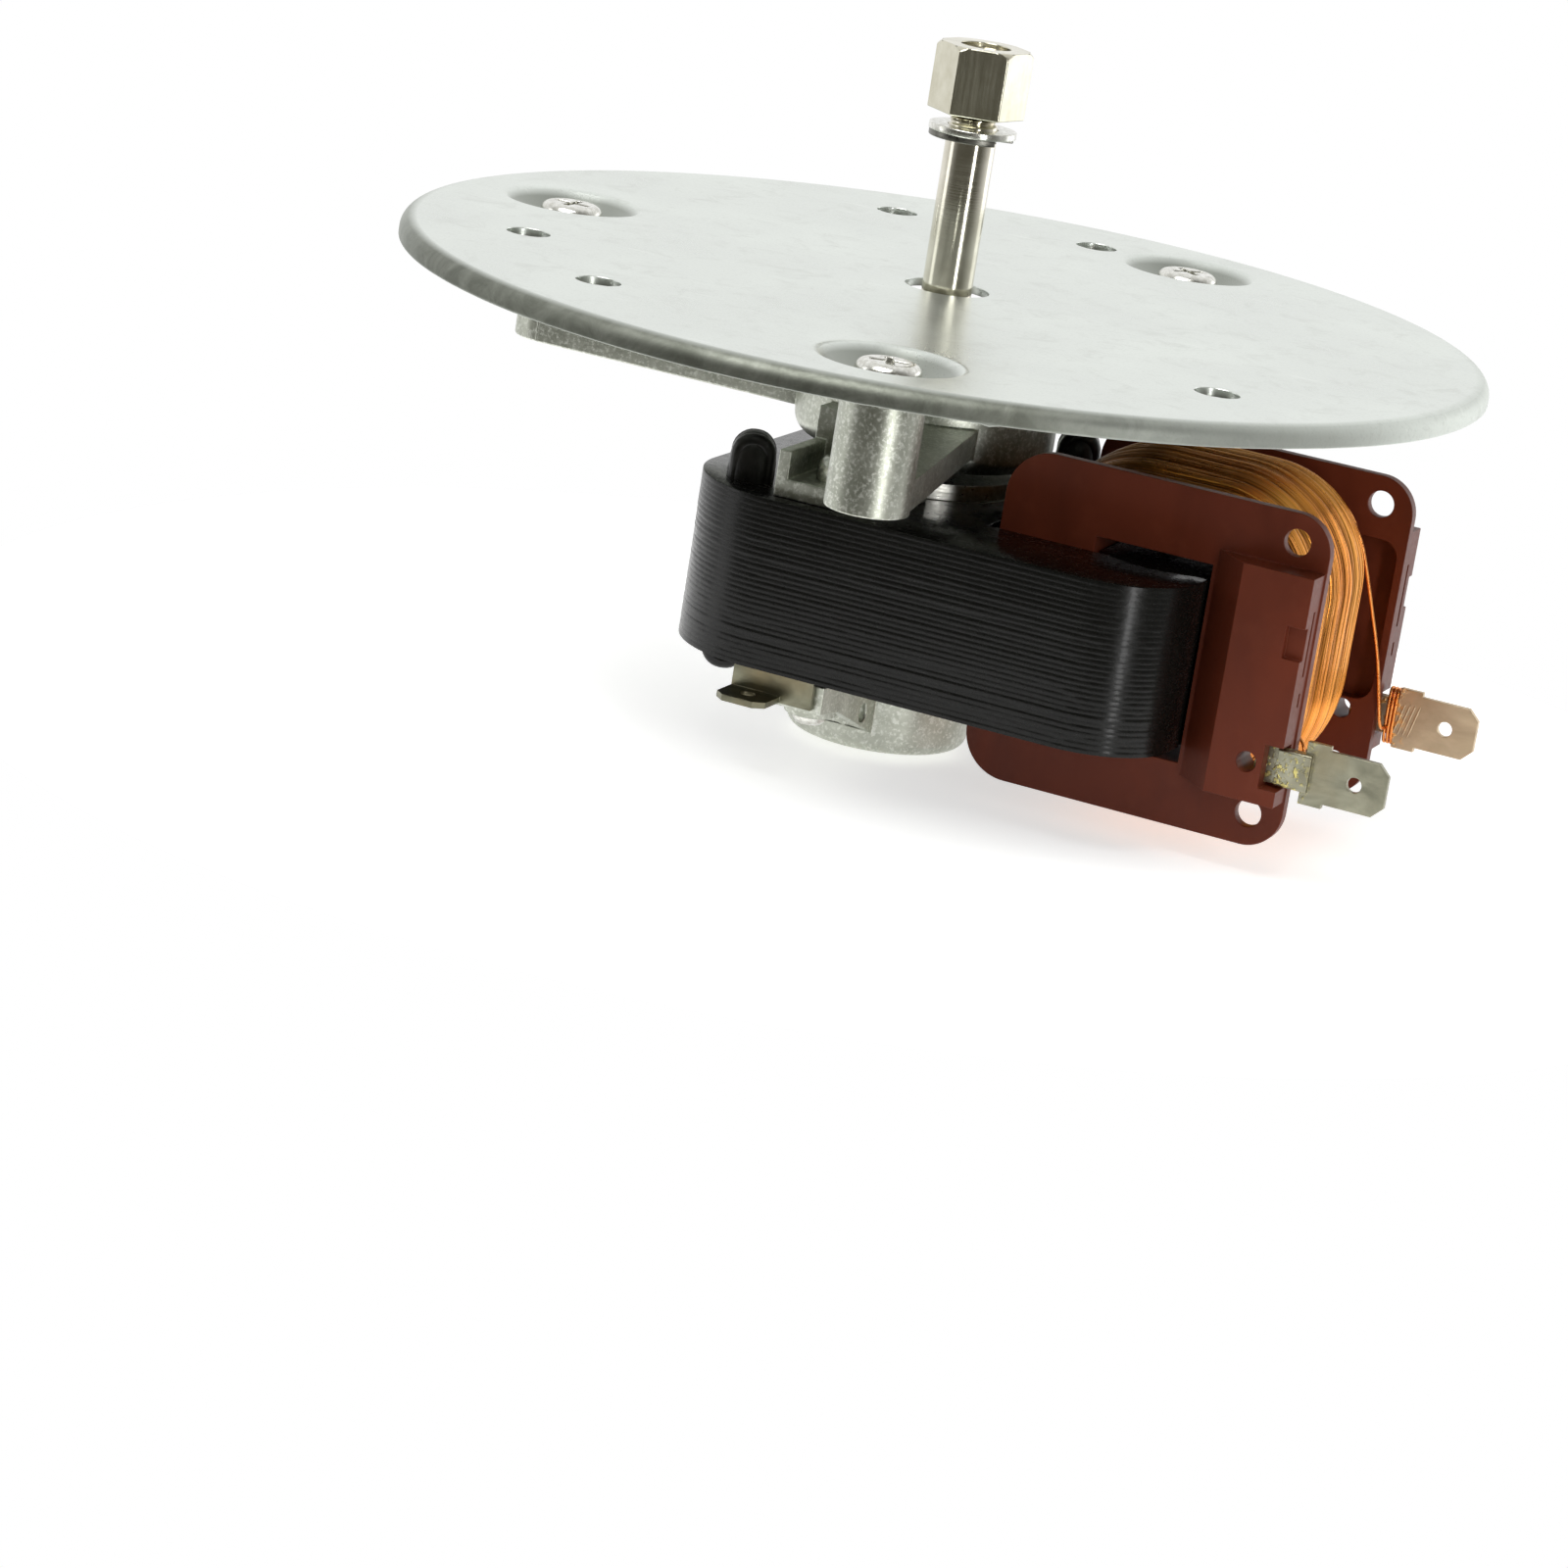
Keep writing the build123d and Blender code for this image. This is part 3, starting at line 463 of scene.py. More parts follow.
def gridFaces(rows, columns, closeRows=False, closeColumns=False, first=0):
    # four-cornered faces of a grid of points numbered row by row
    row = np.arange(rows if closeRows else rows - 1)
    column = np.arange(columns if closeColumns else columns - 1)
    row, column = np.meshgrid(row, column, indexing="ij")
    nextRow = (row + 1) % rows
    nextColumn = (column + 1) % columns
    corners = [
        row * columns + column,
        row * columns + nextColumn,
        nextRow * columns + nextColumn,
        nextRow * columns + column,
    ]
    return (np.stack(corners, -1).reshape(-1, 4) + first).tolist()


def ringPoints(radii, heights, centre, count):
    # a profile of radii and heights turned about an upright axis, one ring of points each
    turn = np.arange(count) / count * 2 * math.pi
    radii = np.asarray(radii, float)[:, None]
    x = centre[0] + radii * np.cos(turn)
    y = centre[1] + radii * np.sin(turn)
    z = np.repeat(np.asarray(heights, float)[:, None], count, 1)
    return np.stack([x, y, z], -1)


def circle(centre, radius, count):
    return ringPoints([radius], [0.0], centre, count)[0, :, :2]


def insideLoop(points, loop):
    # even-odd test: how many of the loop's edges lie to the right of each point
    x, y = points[:, 0, None], points[:, 1, None]
    x1, y1 = loop[:, 0], loop[:, 1]
    x2, y2 = np.roll(x1, -1), np.roll(y1, -1)
    spans = (y1 > y) != (y2 > y)
    rise = np.where(y2 == y1, 1.0, y2 - y1)
    crossing = (x2 - x1) * (y - y1) / rise + x1
    return (np.sum(spans & (x < crossing), axis=1) % 2) == 1


def flatSheet(outline, holes, height):
    # triangles between an outline and its holes, all at one height
    loops = [np.asarray(outline), *[np.asarray(hole) for hole in holes]]
    points = np.concatenate(loops)
    edges = []
    for loop in loops:
        first = len(edges)
        edges += [(first + i, first + (i + 1) % len(loop)) for i in range(len(loop))]
    # kind 1 keeps the triangles inside the outline, and points within 1e-7 mm count as one
    found = delaunay_2d_cdt([Vector(p) for p in points], edges, [], 1, 1e-7)
    flat = np.array([(p.x, p.y) for p in found[0]])
    faces = np.array([list(face) for face in found[2]])
    middles = flat[faces].mean(axis=1)
    keep = np.ones(len(faces), bool)
    for hole in holes:
        keep &= ~insideLoop(middles, np.asarray(hole))
    return np.column_stack([flat, np.full(len(flat), height)]), faces[keep].tolist()


# Welding of every mesh, and the small bevels on copies of solids
softening = {
    "weld": 2e-6,  # metres
    "flatWithin": 0.3,
    "bevelAbove": 35.0,
    "segments": 2,
    "flatWeight": 90,
}


def weld(mesh, flatten):
    # merges doubled points, then joins the faces that lie flat or else turns all faces outwards
    cleaned = bmesh.new()
    cleaned.from_mesh(mesh)
    bmesh.ops.remove_doubles(cleaned, verts=cleaned.verts, dist=softening["weld"])
    if flatten:
        bmesh.ops.dissolve_limit(cleaned, angle_limit=math.radians(softening["flatWithin"]),
                                 use_dissolve_boundaries=False, verts=cleaned.verts,
                                 edges=cleaned.edges, delimit=set())
    else:
        bmesh.ops.recalc_face_normals(cleaned, faces=cleaned.faces)
    cleaned.to_mesh(mesh)
    cleaned.free()


class Shell:
    # gathers grids and sheets in millimetres, and joins them into one closed mesh
    def __init__(self):
        self.points = []
        self.faces = []
        self.values = []
        self.count = 0

    def add(self, points, faces, values=None):
        points = np.asarray(points, float).reshape(-1, 3)
        self.faces += [[corner + self.count for corner in face] for face in faces]
        self.points.append(points)
        self.values.append(np.zeros(len(points)) if values is None else np.asarray(values).ravel())
        self.count += len(points)

    def addGrid(self, grid, closeRows=False, closeColumns=False, values=None):
        rows, columns = grid.shape[:2]
        self.add(grid, gridFaces(rows, columns, closeRows, closeColumns), values)

    def addTube(self, grid):
        # rings of points joined into a tube, with a fan of faces over each end
        self.addGrid(grid, closeColumns=True)
        for ring in (grid[0], grid[-1]):
            middle = np.broadcast_to(ring.mean(axis=0), ring.shape)
            self.addGrid(np.stack([ring, middle]), closeColumns=True)

    def make(self, name, node, sharp, finish=None, attribute=None):
        mesh = bpy.data.meshes.new(name)
        points = np.concatenate(self.points) * mm
        mesh.from_pydata(points.tolist(), [], self.faces)
        if attribute:
            layer = mesh.attributes.new(attribute, "FLOAT", "POINT")
            layer.data.foreach_set("value", np.concatenate(self.values).astype(np.float32))
        weld(mesh, flatten=False)
        finishPiece(name, mesh, node, sharp, finish)


def finishPiece(name, mesh, node, sharp, finish):
    # smooth shading with hard edges kept, then the body, slot and node that the piece stands for
    mesh.shade_smooth()
    mesh.set_sharp_from_angle(angle=math.radians(sharp))
    mesh.materials.clear()
    mesh.materials.append(finish or finishes[slotOf[node]])
    piece = bpy.data.objects.new(name, mesh)
    bpy.context.scene.collection.objects.link(piece)
    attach(piece, bodyOf[node])
    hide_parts(node)
    return piece


def softEdges(name, node, width, finish=None):
    # a copy of a solid with its flat faces joined and its hard edges rounded by a small bevel
    mesh = frame["nodes"][node].data.copy()
    weld(mesh, flatten=True)
    piece = finishPiece(name, mesh, node, 180.0, finish)
    bevel = piece.modifiers.new("edges", "BEVEL")
    bevel.width = width * mm
    bevel.segments = softening["segments"]
    bevel.limit_method = "ANGLE"
    bevel.angle_limit = math.radians(softening["bevelAbove"])
    bevel.use_clamp_overlap = False
    flat = piece.modifiers.new("flatFaces", "WEIGHTED_NORMAL")
    flat.keep_sharp = False
    flat.weight = softening["flatWeight"]


# Mounting plate
plate = {
    "radius": 65.0,
    "thickness": 1.0,
    "rimDepth": 2.5,
    "rimRound": 1.8,
    "rimMargin": 0.6,
    "rimPoints": 360,
    "centreHole": 5.05,
    "centreRound": 0.12,
    "centrePoints": 96,
    "holeCircle": 50.0,
    "holeRadius": 2.6,
    "holeRound": 0.15,
    "holePoints": 64,
    "holeMargin": 0.3,
    "holeChamfer": 0.06,
    "holeAngles": [-150.0, -120.0, -30.0, 90.0, 120.0],
    "dimpleAngles": [180.0, -74.6, 74.6],
    "dimpleSlope": 38.0,
    "dimpleRadius": 8.8,
    "dimplePoints": 128,
    "seatRadius": 4.9,
    "dimpleDepth": 2.4,
    "screwHole": 2.15,
    "lip": (0.30, 0.12, 0.10),  # height of its walls, then its outer and inner chamfer
    "lipTop": 0.2,
    "wander": 0.03,
    "wanders": 7,
    # angle, depth and width of each burr on the lip
    "burrs": [(-176.0, 0.45, 0.9), (-170.5, 0.35, 1.3), (-75.5, 0.25, 0.8), (-63.0, 0.2, 1.0)],
}


def arcProfile(radius, centre, start, end, count):
    # points on an arc in the plane of radius and height
    turn = np.radians(np.linspace(start, end, count))
    return centre[0] + radius * np.cos(turn), centre[1] + radius * np.sin(turn)


def holeProfile(radius, rounding, reach):
    # from the flat top round the edge, down the hole's wall and out along the underside
    thickness, chamfer = plate["thickness"], plate["holeChamfer"]
    r, z = arcProfile(rounding, (radius + rounding, -rounding), 90, 180, 7)
    r = np.concatenate([[reach], r, [radius, radius + chamfer, reach]])
    z = np.concatenate([[0.0], z, [chamfer - thickness, -thickness, -thickness]])
    return r, z


def dimpleProfile():
    # two equal arcs joined by a straight slope between the flat and the seat, then the screw's
    # hole: run = 2 R sin s + L cos s and depth = 2 R (1 - cos s) + L sin s give R for a slope s
    outer, seat, depth = plate["dimpleRadius"], plate["seatRadius"], plate["dimpleDepth"]
    sweep = plate["dimpleSlope"]
    sine, cosine = math.sin(math.radians(sweep)), math.cos(math.radians(sweep))
    radius = ((outer - seat) * sine / cosine - depth) / (2 * (sine ** 2 / cosine - 1 + cosine))
    upperR, upperZ = arcProfile(radius, (outer, -radius), 90, 90 + sweep, 9)
    lowerR, lowerZ = arcProfile(radius, (seat, radius - depth), -90 + sweep, -90, 9)
    r = np.concatenate([upperR, lowerR, [plate["screwHole"]]])
    z = np.concatenate([upperZ, lowerZ, [-depth]])
    return np.concatenate([r, r[::-1]]), np.concatenate([z, z[::-1] - plate["thickness"]])


def rimProfile():
    # from the flat top over the roll, down the skirt, round its lip and up the inside
    outer, rounding, thickness = plate["radius"], plate["rimRound"], plate["thickness"]
    inner = rounding - thickness / 2
    start = outer - rounding - plate["rimMargin"]
    topR, topZ = arcProfile(rounding, (outer - rounding, -rounding), 90, 0, 14)
    backR, backZ = arcProfile(inner, (outer - thickness - inner, -thickness - inner), 0, 90, 9)
    low, inside = -plate["rimDepth"], outer - thickness
    wall, chamfer, insideChamfer = plate["lip"]
    lipR = [outer, outer, outer - chamfer, inside + insideChamfer, inside, inside]
    lipZ = [low + wall, low + chamfer, low, low, low + chamfer, low + wall]
    r = np.concatenate([[start], topR, lipR, backR, [start]])
    z = np.concatenate([[0.0], topZ, lipZ, backZ, [-thickness]])
    return r, z


def onHoleCircle(angle):
    turn = math.radians(angle)
    return plate["holeCircle"] * math.cos(turn), plate["holeCircle"] * math.sin(turn)


def mountingPlate():
    # profiles turned about the holes, the dimples and the axis, with flat sheets between them; the
    # lip's foot drops by wander * sin^2 of a multiple of the angle, and at each burr by
    # depth * exp(-4 (angle from the burr / width)^2)
    shell = Shell()
    openings = []
    holes = [((0.0, 0.0), plate["centreHole"], plate["centreRound"], plate["centrePoints"])]
    for at in map(onHoleCircle, plate["holeAngles"]):
        holes.append((at, plate["holeRadius"], plate["holeRound"], plate["holePoints"]))
    for at, radius, rounding, count in holes:
        reach = radius + rounding + plate["holeMargin"]
        r, z = holeProfile(radius, rounding, reach)
        shell.addGrid(ringPoints(r, z, at, count), closeColumns=True)
        openings.append(circle(at, reach, count))
    r, z = dimpleProfile()
    count = plate["dimplePoints"]
    for at in map(onHoleCircle, plate["dimpleAngles"]):
        shell.addGrid(ringPoints(r, z, at, count), closeColumns=True)
        openings.append(circle(at, plate["dimpleRadius"], count))
    r, z = rimProfile()
    count = plate["rimPoints"]
    rim = ringPoints(r, z, (0.0, 0.0), count)
    turn = np.arange(count) / count * 360
    drop = plate["wander"] * np.sin(np.radians(turn * plate["wanders"])) ** 2
    for angle, depth, width in plate["burrs"]:
        away = (turn - angle + 180) % 360 - 180
        drop += depth * np.exp(-4 * (away / width) ** 2)
    lip = rim[..., 2] < plate["lipTop"] - plate["rimDepth"]
    rim[..., 2] -= np.where(lip, drop, 0.0)
    shell.addGrid(rim, closeColumns=True)
    outline = circle((0.0, 0.0), r[0], count)
    for height in (0.0, -plate["thickness"]):
        shell.add(*flatSheet(outline, openings, height))
    shell.make("mountingPlate", "mounting_plate", sharp=32.0)


mountingPlate()
print("plate made")


# Shaft with its thread
shaft = {
    "radius": 3.0,
    "chamfer": 0.5,
    "plainRows": (-10.0, 0.0, 10.0),
    "groove": (17.8, 18.6),
    "grooveRadius": 2.5,
    "edge": 0.02,  # height of the steps at the groove
    "neck": 0.25,
    "threadStart": 19.4,
    "threadFade": 0.6,
    "threadRadius": 2.9,
    "threadDepth": 0.45,
    "pitch": 1.0,
    "perTurn": 12,
    "around": 72,
}


def shaftPiece():
    # rings of the shaft's radius, smaller at the foot and in the clip's groove; the thread is a
    # triangle wave of height along the helix, fading in at its foot
    low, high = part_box("shaft")
    bottom, top = low.z / mm, high.z / mm
    (grooveLow, grooveHigh), edge, start = shaft["groove"], shaft["edge"], shaft["threadStart"]
    plain = [bottom, bottom + shaft["chamfer"], *shaft["plainRows"], grooveLow - edge]
    groove = [grooveLow, grooveLow + edge, grooveHigh - edge, grooveHigh]
    neck = [grooveHigh + edge, start - shaft["neck"], start]
    turns = (top - start) / shaft["pitch"]
    thread = np.linspace(start, top, int(turns * shaft["perTurn"]) + 2)[1:]
    heights = np.concatenate([plain, groove, neck, thread])
    radii = np.full(len(heights), shaft["radius"])
    radii[0] -= shaft["chamfer"]
    radii[len(plain) + 1:len(plain) + 3] = shaft["grooveRadius"]
    grid = ringPoints(radii, heights, (0.0, 0.0), shaft["around"])
    turn = np.arange(shaft["around"]) / shaft["around"]
    phase = (heights[:, None] / shaft["pitch"] - turn) % 1.0
    ridge = np.abs(2 * phase - 1)
    fade = np.clip((heights - start) / shaft["threadFade"], 0, 1)[:, None]
    radius = shaft["threadRadius"] - shaft["threadDepth"] * ridge * fade
    radius -= np.clip(heights[:, None] - (top - shaft["chamfer"]), 0, 1)
    scale = np.where(heights[:, None] >= start, radius / shaft["radius"], 1.0)
    grid[..., :2] *= scale[..., None]
    shell = Shell()
    shell.addTube(grid)
    shell.make("shaft_threaded", "shaft", sharp=40.0)


shaftPiece()
softEdges("nut", "shaft_nut", 0.14, nutNickel)
softEdges("washer", "shaft_washer", 0.1)
softEdges("clip", "retaining_clip", 0.08)
softEdges("plateScrews", "plate_screws", 0.12)
softEdges("frontBracket", "top_bracket", 0.22)
softEdges("rearBracket", "bottom_bracket", 0.18)
softEdges("bracketScrews", "bracket_screws", 0.12)
softEdges("earthTag", "earth_tag", 0.08)
print("shaft, fasteners and brackets made")


# Laminated core and yoke
core = {
    "sheet": 0.645,
    "groove": 0.018,
    "rows": [(0.0, 1.0), (0.16, 0.12), (0.5, 0.0), (0.84, 0.12)],  # shares of sheet and groove
    "unevenness": 0.020,
    "ripple": 0.016,
    "ripples": (23, 41, 67),
    "topEdge": 0.12,
    "topShoulder": 0.3,
    "lowestGroove": 0.6,
    "pointGap": 2.0,
    "left": -19.5,
    "right": 43.3,
    "half": 30.0,
    "leftRound": 14.0,
    "rightRound": 10.5,
    "windowLeft": 16.0,
    "legInner": 16.2,
    "bore": 12.7,
    "borePoints": 120,
    "screwHole": 2.1,
    "screwPoints": 24,
    "screwY": 22.0,
    "yokeCentre": 36.4,
    "yokeHalf": 6.9,
    "yokeArchY": 8.8,
    "yokeArch": 9.0,
    "seatGap": 0.06,
    "ringCentre": (-11.6, -23.0),
    "ringTurn": 23.0,
    "ringHalf": 1.65,
    "ringPitch": 2.5,
    "ringHole": 1.06,
    "ringHolePoints": 20,
}


def arcPoints(centre, radius, start, end, step=3.0):
    # points on an arc in plan, about one for each step of degrees
    count = max(2, int(abs(end - start) / step) + 1)
    turn = np.radians(np.linspace(start, end, count))
    return np.stack([centre[0] + radius * np.cos(turn), centre[1] + radius * np.sin(turn)], 1)


def spaced(loop, gap):
    # a closed loop with extra points on its long straight stretches
    ends = np.roll(loop, -1, axis=0)
    made = []
    for start, end in zip(loop, ends):
        count = max(1, int(np.hypot(*(end - start)) / gap))
        share = np.arange(count)[:, None] / count
        made.append(start + (end - start) * share)
    return np.concatenate(made)


def coreOutline():
    # the near half of the C from its window to its left side, and its mirror image
    arch = core["yokeArch"] + core["seatGap"]
    across = math.sqrt(arch ** 2 - (core["legInner"] - core["yokeArchY"]) ** 2)
    sweep = math.degrees(math.asin(across / arch))
    right = (core["right"] - core["rightRound"], -core["half"] + core["rightRound"])
    left = (core["left"] + core["leftRound"], -core["half"] + core["leftRound"])
    near = np.concatenate([
        [(core["windowLeft"], 0.0), (core["windowLeft"], -core["legInner"])],
        arcPoints((core["yokeCentre"], -core["yokeArchY"]), arch, -90 - sweep, -90 + sweep),
        [(core["right"], -core["legInner"])],
        arcPoints(right, core["rightRound"], 0, -90),
        arcPoints(left, core["leftRound"], -90, -180),
        [(core["left"], 0.0)],
    ])
    far = near[1:-1][::-1] * (1, -1)
    return np.concatenate([near, far])


def yokeOutline():
    # a straight bar with an arched end each way
    half, arch, y = core["yokeHalf"], core["yokeArch"], core["yokeArchY"]
    sweep = math.degrees(math.asin(half / arch))
    near = arcPoints((core["yokeCentre"], -y), arch, -90 - sweep, -90 + sweep)
    return np.concatenate([near, near[::-1] * (1, -1)])


def ringAxes():
    # in plan, the direction along a shading ring and the step from one of a pair to the other
    turn = math.radians(core["ringTurn"])
    along = np.array([math.cos(turn), math.sin(turn)])
    return along, np.array([-along[1], along[0]]) * core["ringPitch"]


def coreHoles():
    # circles for the bore, the screws and both legs of each shading ring; the second pair of
    # rings is the first one turned half round the axis
    holes = [circle((0.0, 0.0), core["bore"], core["borePoints"])]
    for side in (-1, 1):
        holes.append(circle((0.0, side * core["screwY"]), core["screwHole"], core["screwPoints"]))
    along, inward = ringAxes()
    for side, row, end in product((1, -1), (0, 1), (-1, 1)):
        leg = row * inward + end * core["ringHalf"] * along
        at = side * (np.array(core["ringCentre"]) + leg)
        holes.append(circle(at, core["ringHole"], core["ringHolePoints"]))
    return holes


def laminated(name, node, outline, holes, seed):
    # each sheet's edge is a low ridge between two grooves, set in from the outline by a random
    # amount and by the size of three sines round it; the uppermost edge is rounded over two rows
    rng = np.random.default_rng(seed)
    low, high = (corner.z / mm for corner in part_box(node))
    count = round((high - low) / core["sheet"])
    thick = (high - low) / count
    outline = spaced(outline, core["pointGap"])
    side = np.roll(outline, -1, axis=0) - np.roll(outline, 1, axis=0)
    side /= np.hypot(side[:, 0], side[:, 1])[:, None]
    inward = np.stack([-side[:, 1], side[:, 0]], 1)
    if np.cross(outline, np.roll(outline, -1, axis=0)).sum() < 0:
        inward = -inward
    share, depth = np.array(core["rows"]).T
    heights = (low + (np.arange(count)[:, None] + share) * thick).ravel()
    shoulder = core["topEdge"] * core["topShoulder"]
    heights = np.append(heights, (high - shoulder, high))
    inset = np.append(np.tile(depth * core["groove"], count), (shoulder, core["topEdge"]))
    inset[0] *= core["lowestGroove"]

    def perRow(values):
        # a sheet's value for each of its rows, and 0 for the two rows of the uppermost edge
        return np.append(np.repeat(values, len(share)), (0.0, 0.0))[:, None]

    inset = inset[:, None] + perRow(rng.uniform(0, core["unevenness"], count))
    travel = np.arange(len(outline)) / len(outline) * 2 * math.pi
    wave = np.zeros((len(heights), len(outline)))
    for order in core["ripples"]:
        phase = perRow(rng.uniform(0, 2 * math.pi, count))
        wave += np.sin(order * travel + phase) * core["ripple"] / 2
    inset = inset + np.abs(wave)
    xy = outline[None] + inward[None] * inset[..., None]
    grid = np.concatenate([xy, np.broadcast_to(heights[:, None, None], (*xy.shape[:2], 1))], -1)
    shell = Shell()
    shell.addGrid(grid, closeColumns=True)
    for hole in holes:
        wall = np.stack([np.column_stack([hole, np.full(len(hole), z)]) for z in (low, high)])
        shell.addGrid(wall, closeColumns=True)
    for row, height in ((0, low), (-1, high)):
        shell.add(*flatSheet(xy[row], holes, height))
    shell.make(name, node, sharp=60.0)


laminated("statorCore", "stator_core", coreOutline(), coreHoles(), 7)
laminated("coreYoke", "core_yoke", yokeOutline(), [], 8)
print("core made")


# Shading rings: four closed loops of thick wire
rings = {
    "wire": 1.0,
    "around": 16,
    "lumps": 0.03,
    "stackTop": -23.0,
    "stackLow": -43.0,
    "rise": 5.6,
    "drop": 2.8,
    "bend": 1.485,
    "mound": (2.8, 2.9, 5.7),  # half its length and width, and its height
    "moundFoot": 0.3,
    "moundRows": 18,
    "moundAround": 40,
}


def tubeAlong(path, radius, around, closed=False):
    # a round section carried along a path; its frame is turned as little as can be
    path = np.asarray(path, float)
    ahead = np.roll(path, -1, axis=0) - np.roll(path, 1, axis=0)
    if not closed:
        ahead[0] = path[1] - path[0]
        ahead[-1] = path[-1] - path[-2]
    ahead /= np.linalg.norm(ahead, axis=1)[:, None]
    across = np.cross(ahead[0], (0.31, 0.62, 0.72))
    frames = []
    for direction in ahead:
        across = across - direction * (across @ direction)
        across /= np.linalg.norm(across)
        frames.append(across)
    across = np.array(frames)
    other = np.cross(ahead, across)
    turn = np.arange(around) / around * 2 * math.pi
    radius = np.broadcast_to(np.asarray(radius, float), (len(path),))[:, None, None]
    ring = across[:, None] * np.cos(turn)[:, None] + other[:, None] * np.sin(turn)[:, None]
    return path[:, None] + ring * radius


def ringPath():
    # an upright rectangle with round corners, in the plane of x and z
    half, bend = core["ringHalf"], rings["bend"]
    top = rings["stackTop"] + rings["rise"] - rings["wire"]
    low = rings["stackLow"] - rings["drop"] + rings["wire"]
    corners = [(half, low, -90), (half, top, 0), (-half, top, 90), (-half, low, 180)]
    made = []
    for x, z, start in corners:
        centre = (x - math.copysign(bend, x), z + math.copysign(bend, -z + (top + low) / 2))
        made.append(arcPoints(centre, bend, start, start + 90, 12.0))
    flat = np.concatenate(made)
    return np.stack([flat[:, 0], np.zeros(len(flat)), flat[:, 1]], 1)


def varnishMound():
    # varnish that buries a pair of loops above the core: an oval dome whose width shrinks
    # with its height t, from 0 at the foot to 1 at the top, as (1 - t^4)^0.5
    height = np.sin(np.linspace(0, math.pi / 2, rings["moundRows"]))
    long, wide, tall = rings["mound"]
    sunk = rings["moundFoot"]
    heights = rings["stackTop"] - sunk + (tall + sunk) * height
    grid = ringPoints(np.sqrt(1 - height ** 4), heights, (0.0, 0.0), rings["moundAround"])
    grid = np.concatenate([grid[:1] * (0, 0, 1), grid])
    return grid * (long, wide, 1.0)


def shadingRings():
    # each loop's wire thins by a share of a sine along it, where that is below 0, and each pair
    # has one mound of varnish between its loops
    shell = Shell()
    rng = np.random.default_rng(3)
    (cosine, sine), inward = ringAxes()
    spin = np.array([[cosine, -sine, 0], [sine, cosine, 0], [0, 0, 1]])
    path = ringPath()
    for side in (1, -1):
        for row in (0, 1):
            at = side * (np.array(core["ringCentre"]) + row * inward)
            wave = np.sin(np.arange(len(path)) * rng.uniform(0.4, 0.8) + rng.uniform(0, 6))
            radius = rings["wire"] * np.minimum(1 + rings["lumps"] * wave, 1.0)
            grid = tubeAlong(path, radius, rings["around"], closed=True) @ spin.T + (*at, 0)
            shell.addGrid(grid, closeRows=True, closeColumns=True)
        middle = side * (np.array(core["ringCentre"]) + inward / 2)
        shell.addGrid(varnishMound() @ spin.T + (*middle, 0), closeColumns=True)
    shell.make("shadingRings", "shading_rings", sharp=80.0)


shadingRings()
softEdges("rotorCore", "rotor_core", 0.05)
softEdges("rotorCage", "rotor_cage", 0.12)
print("shading rings and rotor made")


# Winding: a closed loop of ridged wire turns, laid a little unevenly
winding = {
    "turns": 84,
    "perTurn": 4,
    "around": 216,
    "cornerRound": 14.0,
    "edgeSink": 2.84,
    "edgePower": 2.2,
    "ridge": 0.10,
    "bundles": (9, 21),
    "creases": (0.44, 0.16),
    "creaseDrift": 0.42,
    "wander": 0.30,
    "tube": (27.8, 45.0, -46.2, -19.8),
    "tubeRound": 0.6,
    "endRows": 10,
    # strengths of the painted shade in the gaps, the creases and on the end faces
    "shading": (0.35, 0.75, 0.8),  # how dark the gaps, the creases and the end faces are
}


def roundedLoop(box, rounding, count):
    # count points spaced evenly round a box with round corners
    left, right, low, high = box
    flat = np.concatenate([
        arcPoints((right - rounding, low + rounding), rounding, -90, 0, 4.0),
        arcPoints((right - rounding, high - rounding), rounding, 0, 90, 4.0),
        arcPoints((left + rounding, high - rounding), rounding, 90, 180, 4.0),
        arcPoints((left + rounding, low + rounding), rounding, 180, 270, 4.0),
    ])
    closed = np.vstack([flat, flat[:1]])
    travel = np.insert(np.cumsum(np.hypot(*np.diff(closed, axis=0).T)), 0, 0.0)
    even = np.arange(count) / count * travel[-1]
    return np.stack([np.interp(even, travel, closed[:, i]) for i in (0, 1)], 1)


def waves(u, v, orders, seed, drift):
    # a sum of sines across the turns whose crests drift along the wire, from -1 to 1
    rng = np.random.default_rng(seed)
    total = np.zeros_like(v)
    for order in orders:
        slant = rng.integers(-drift, drift + 1)
        total += np.sin(2 * math.pi * (order * v + slant * u) + rng.uniform(0, 6)) / order ** 0.4
    return total / np.abs(total).max()


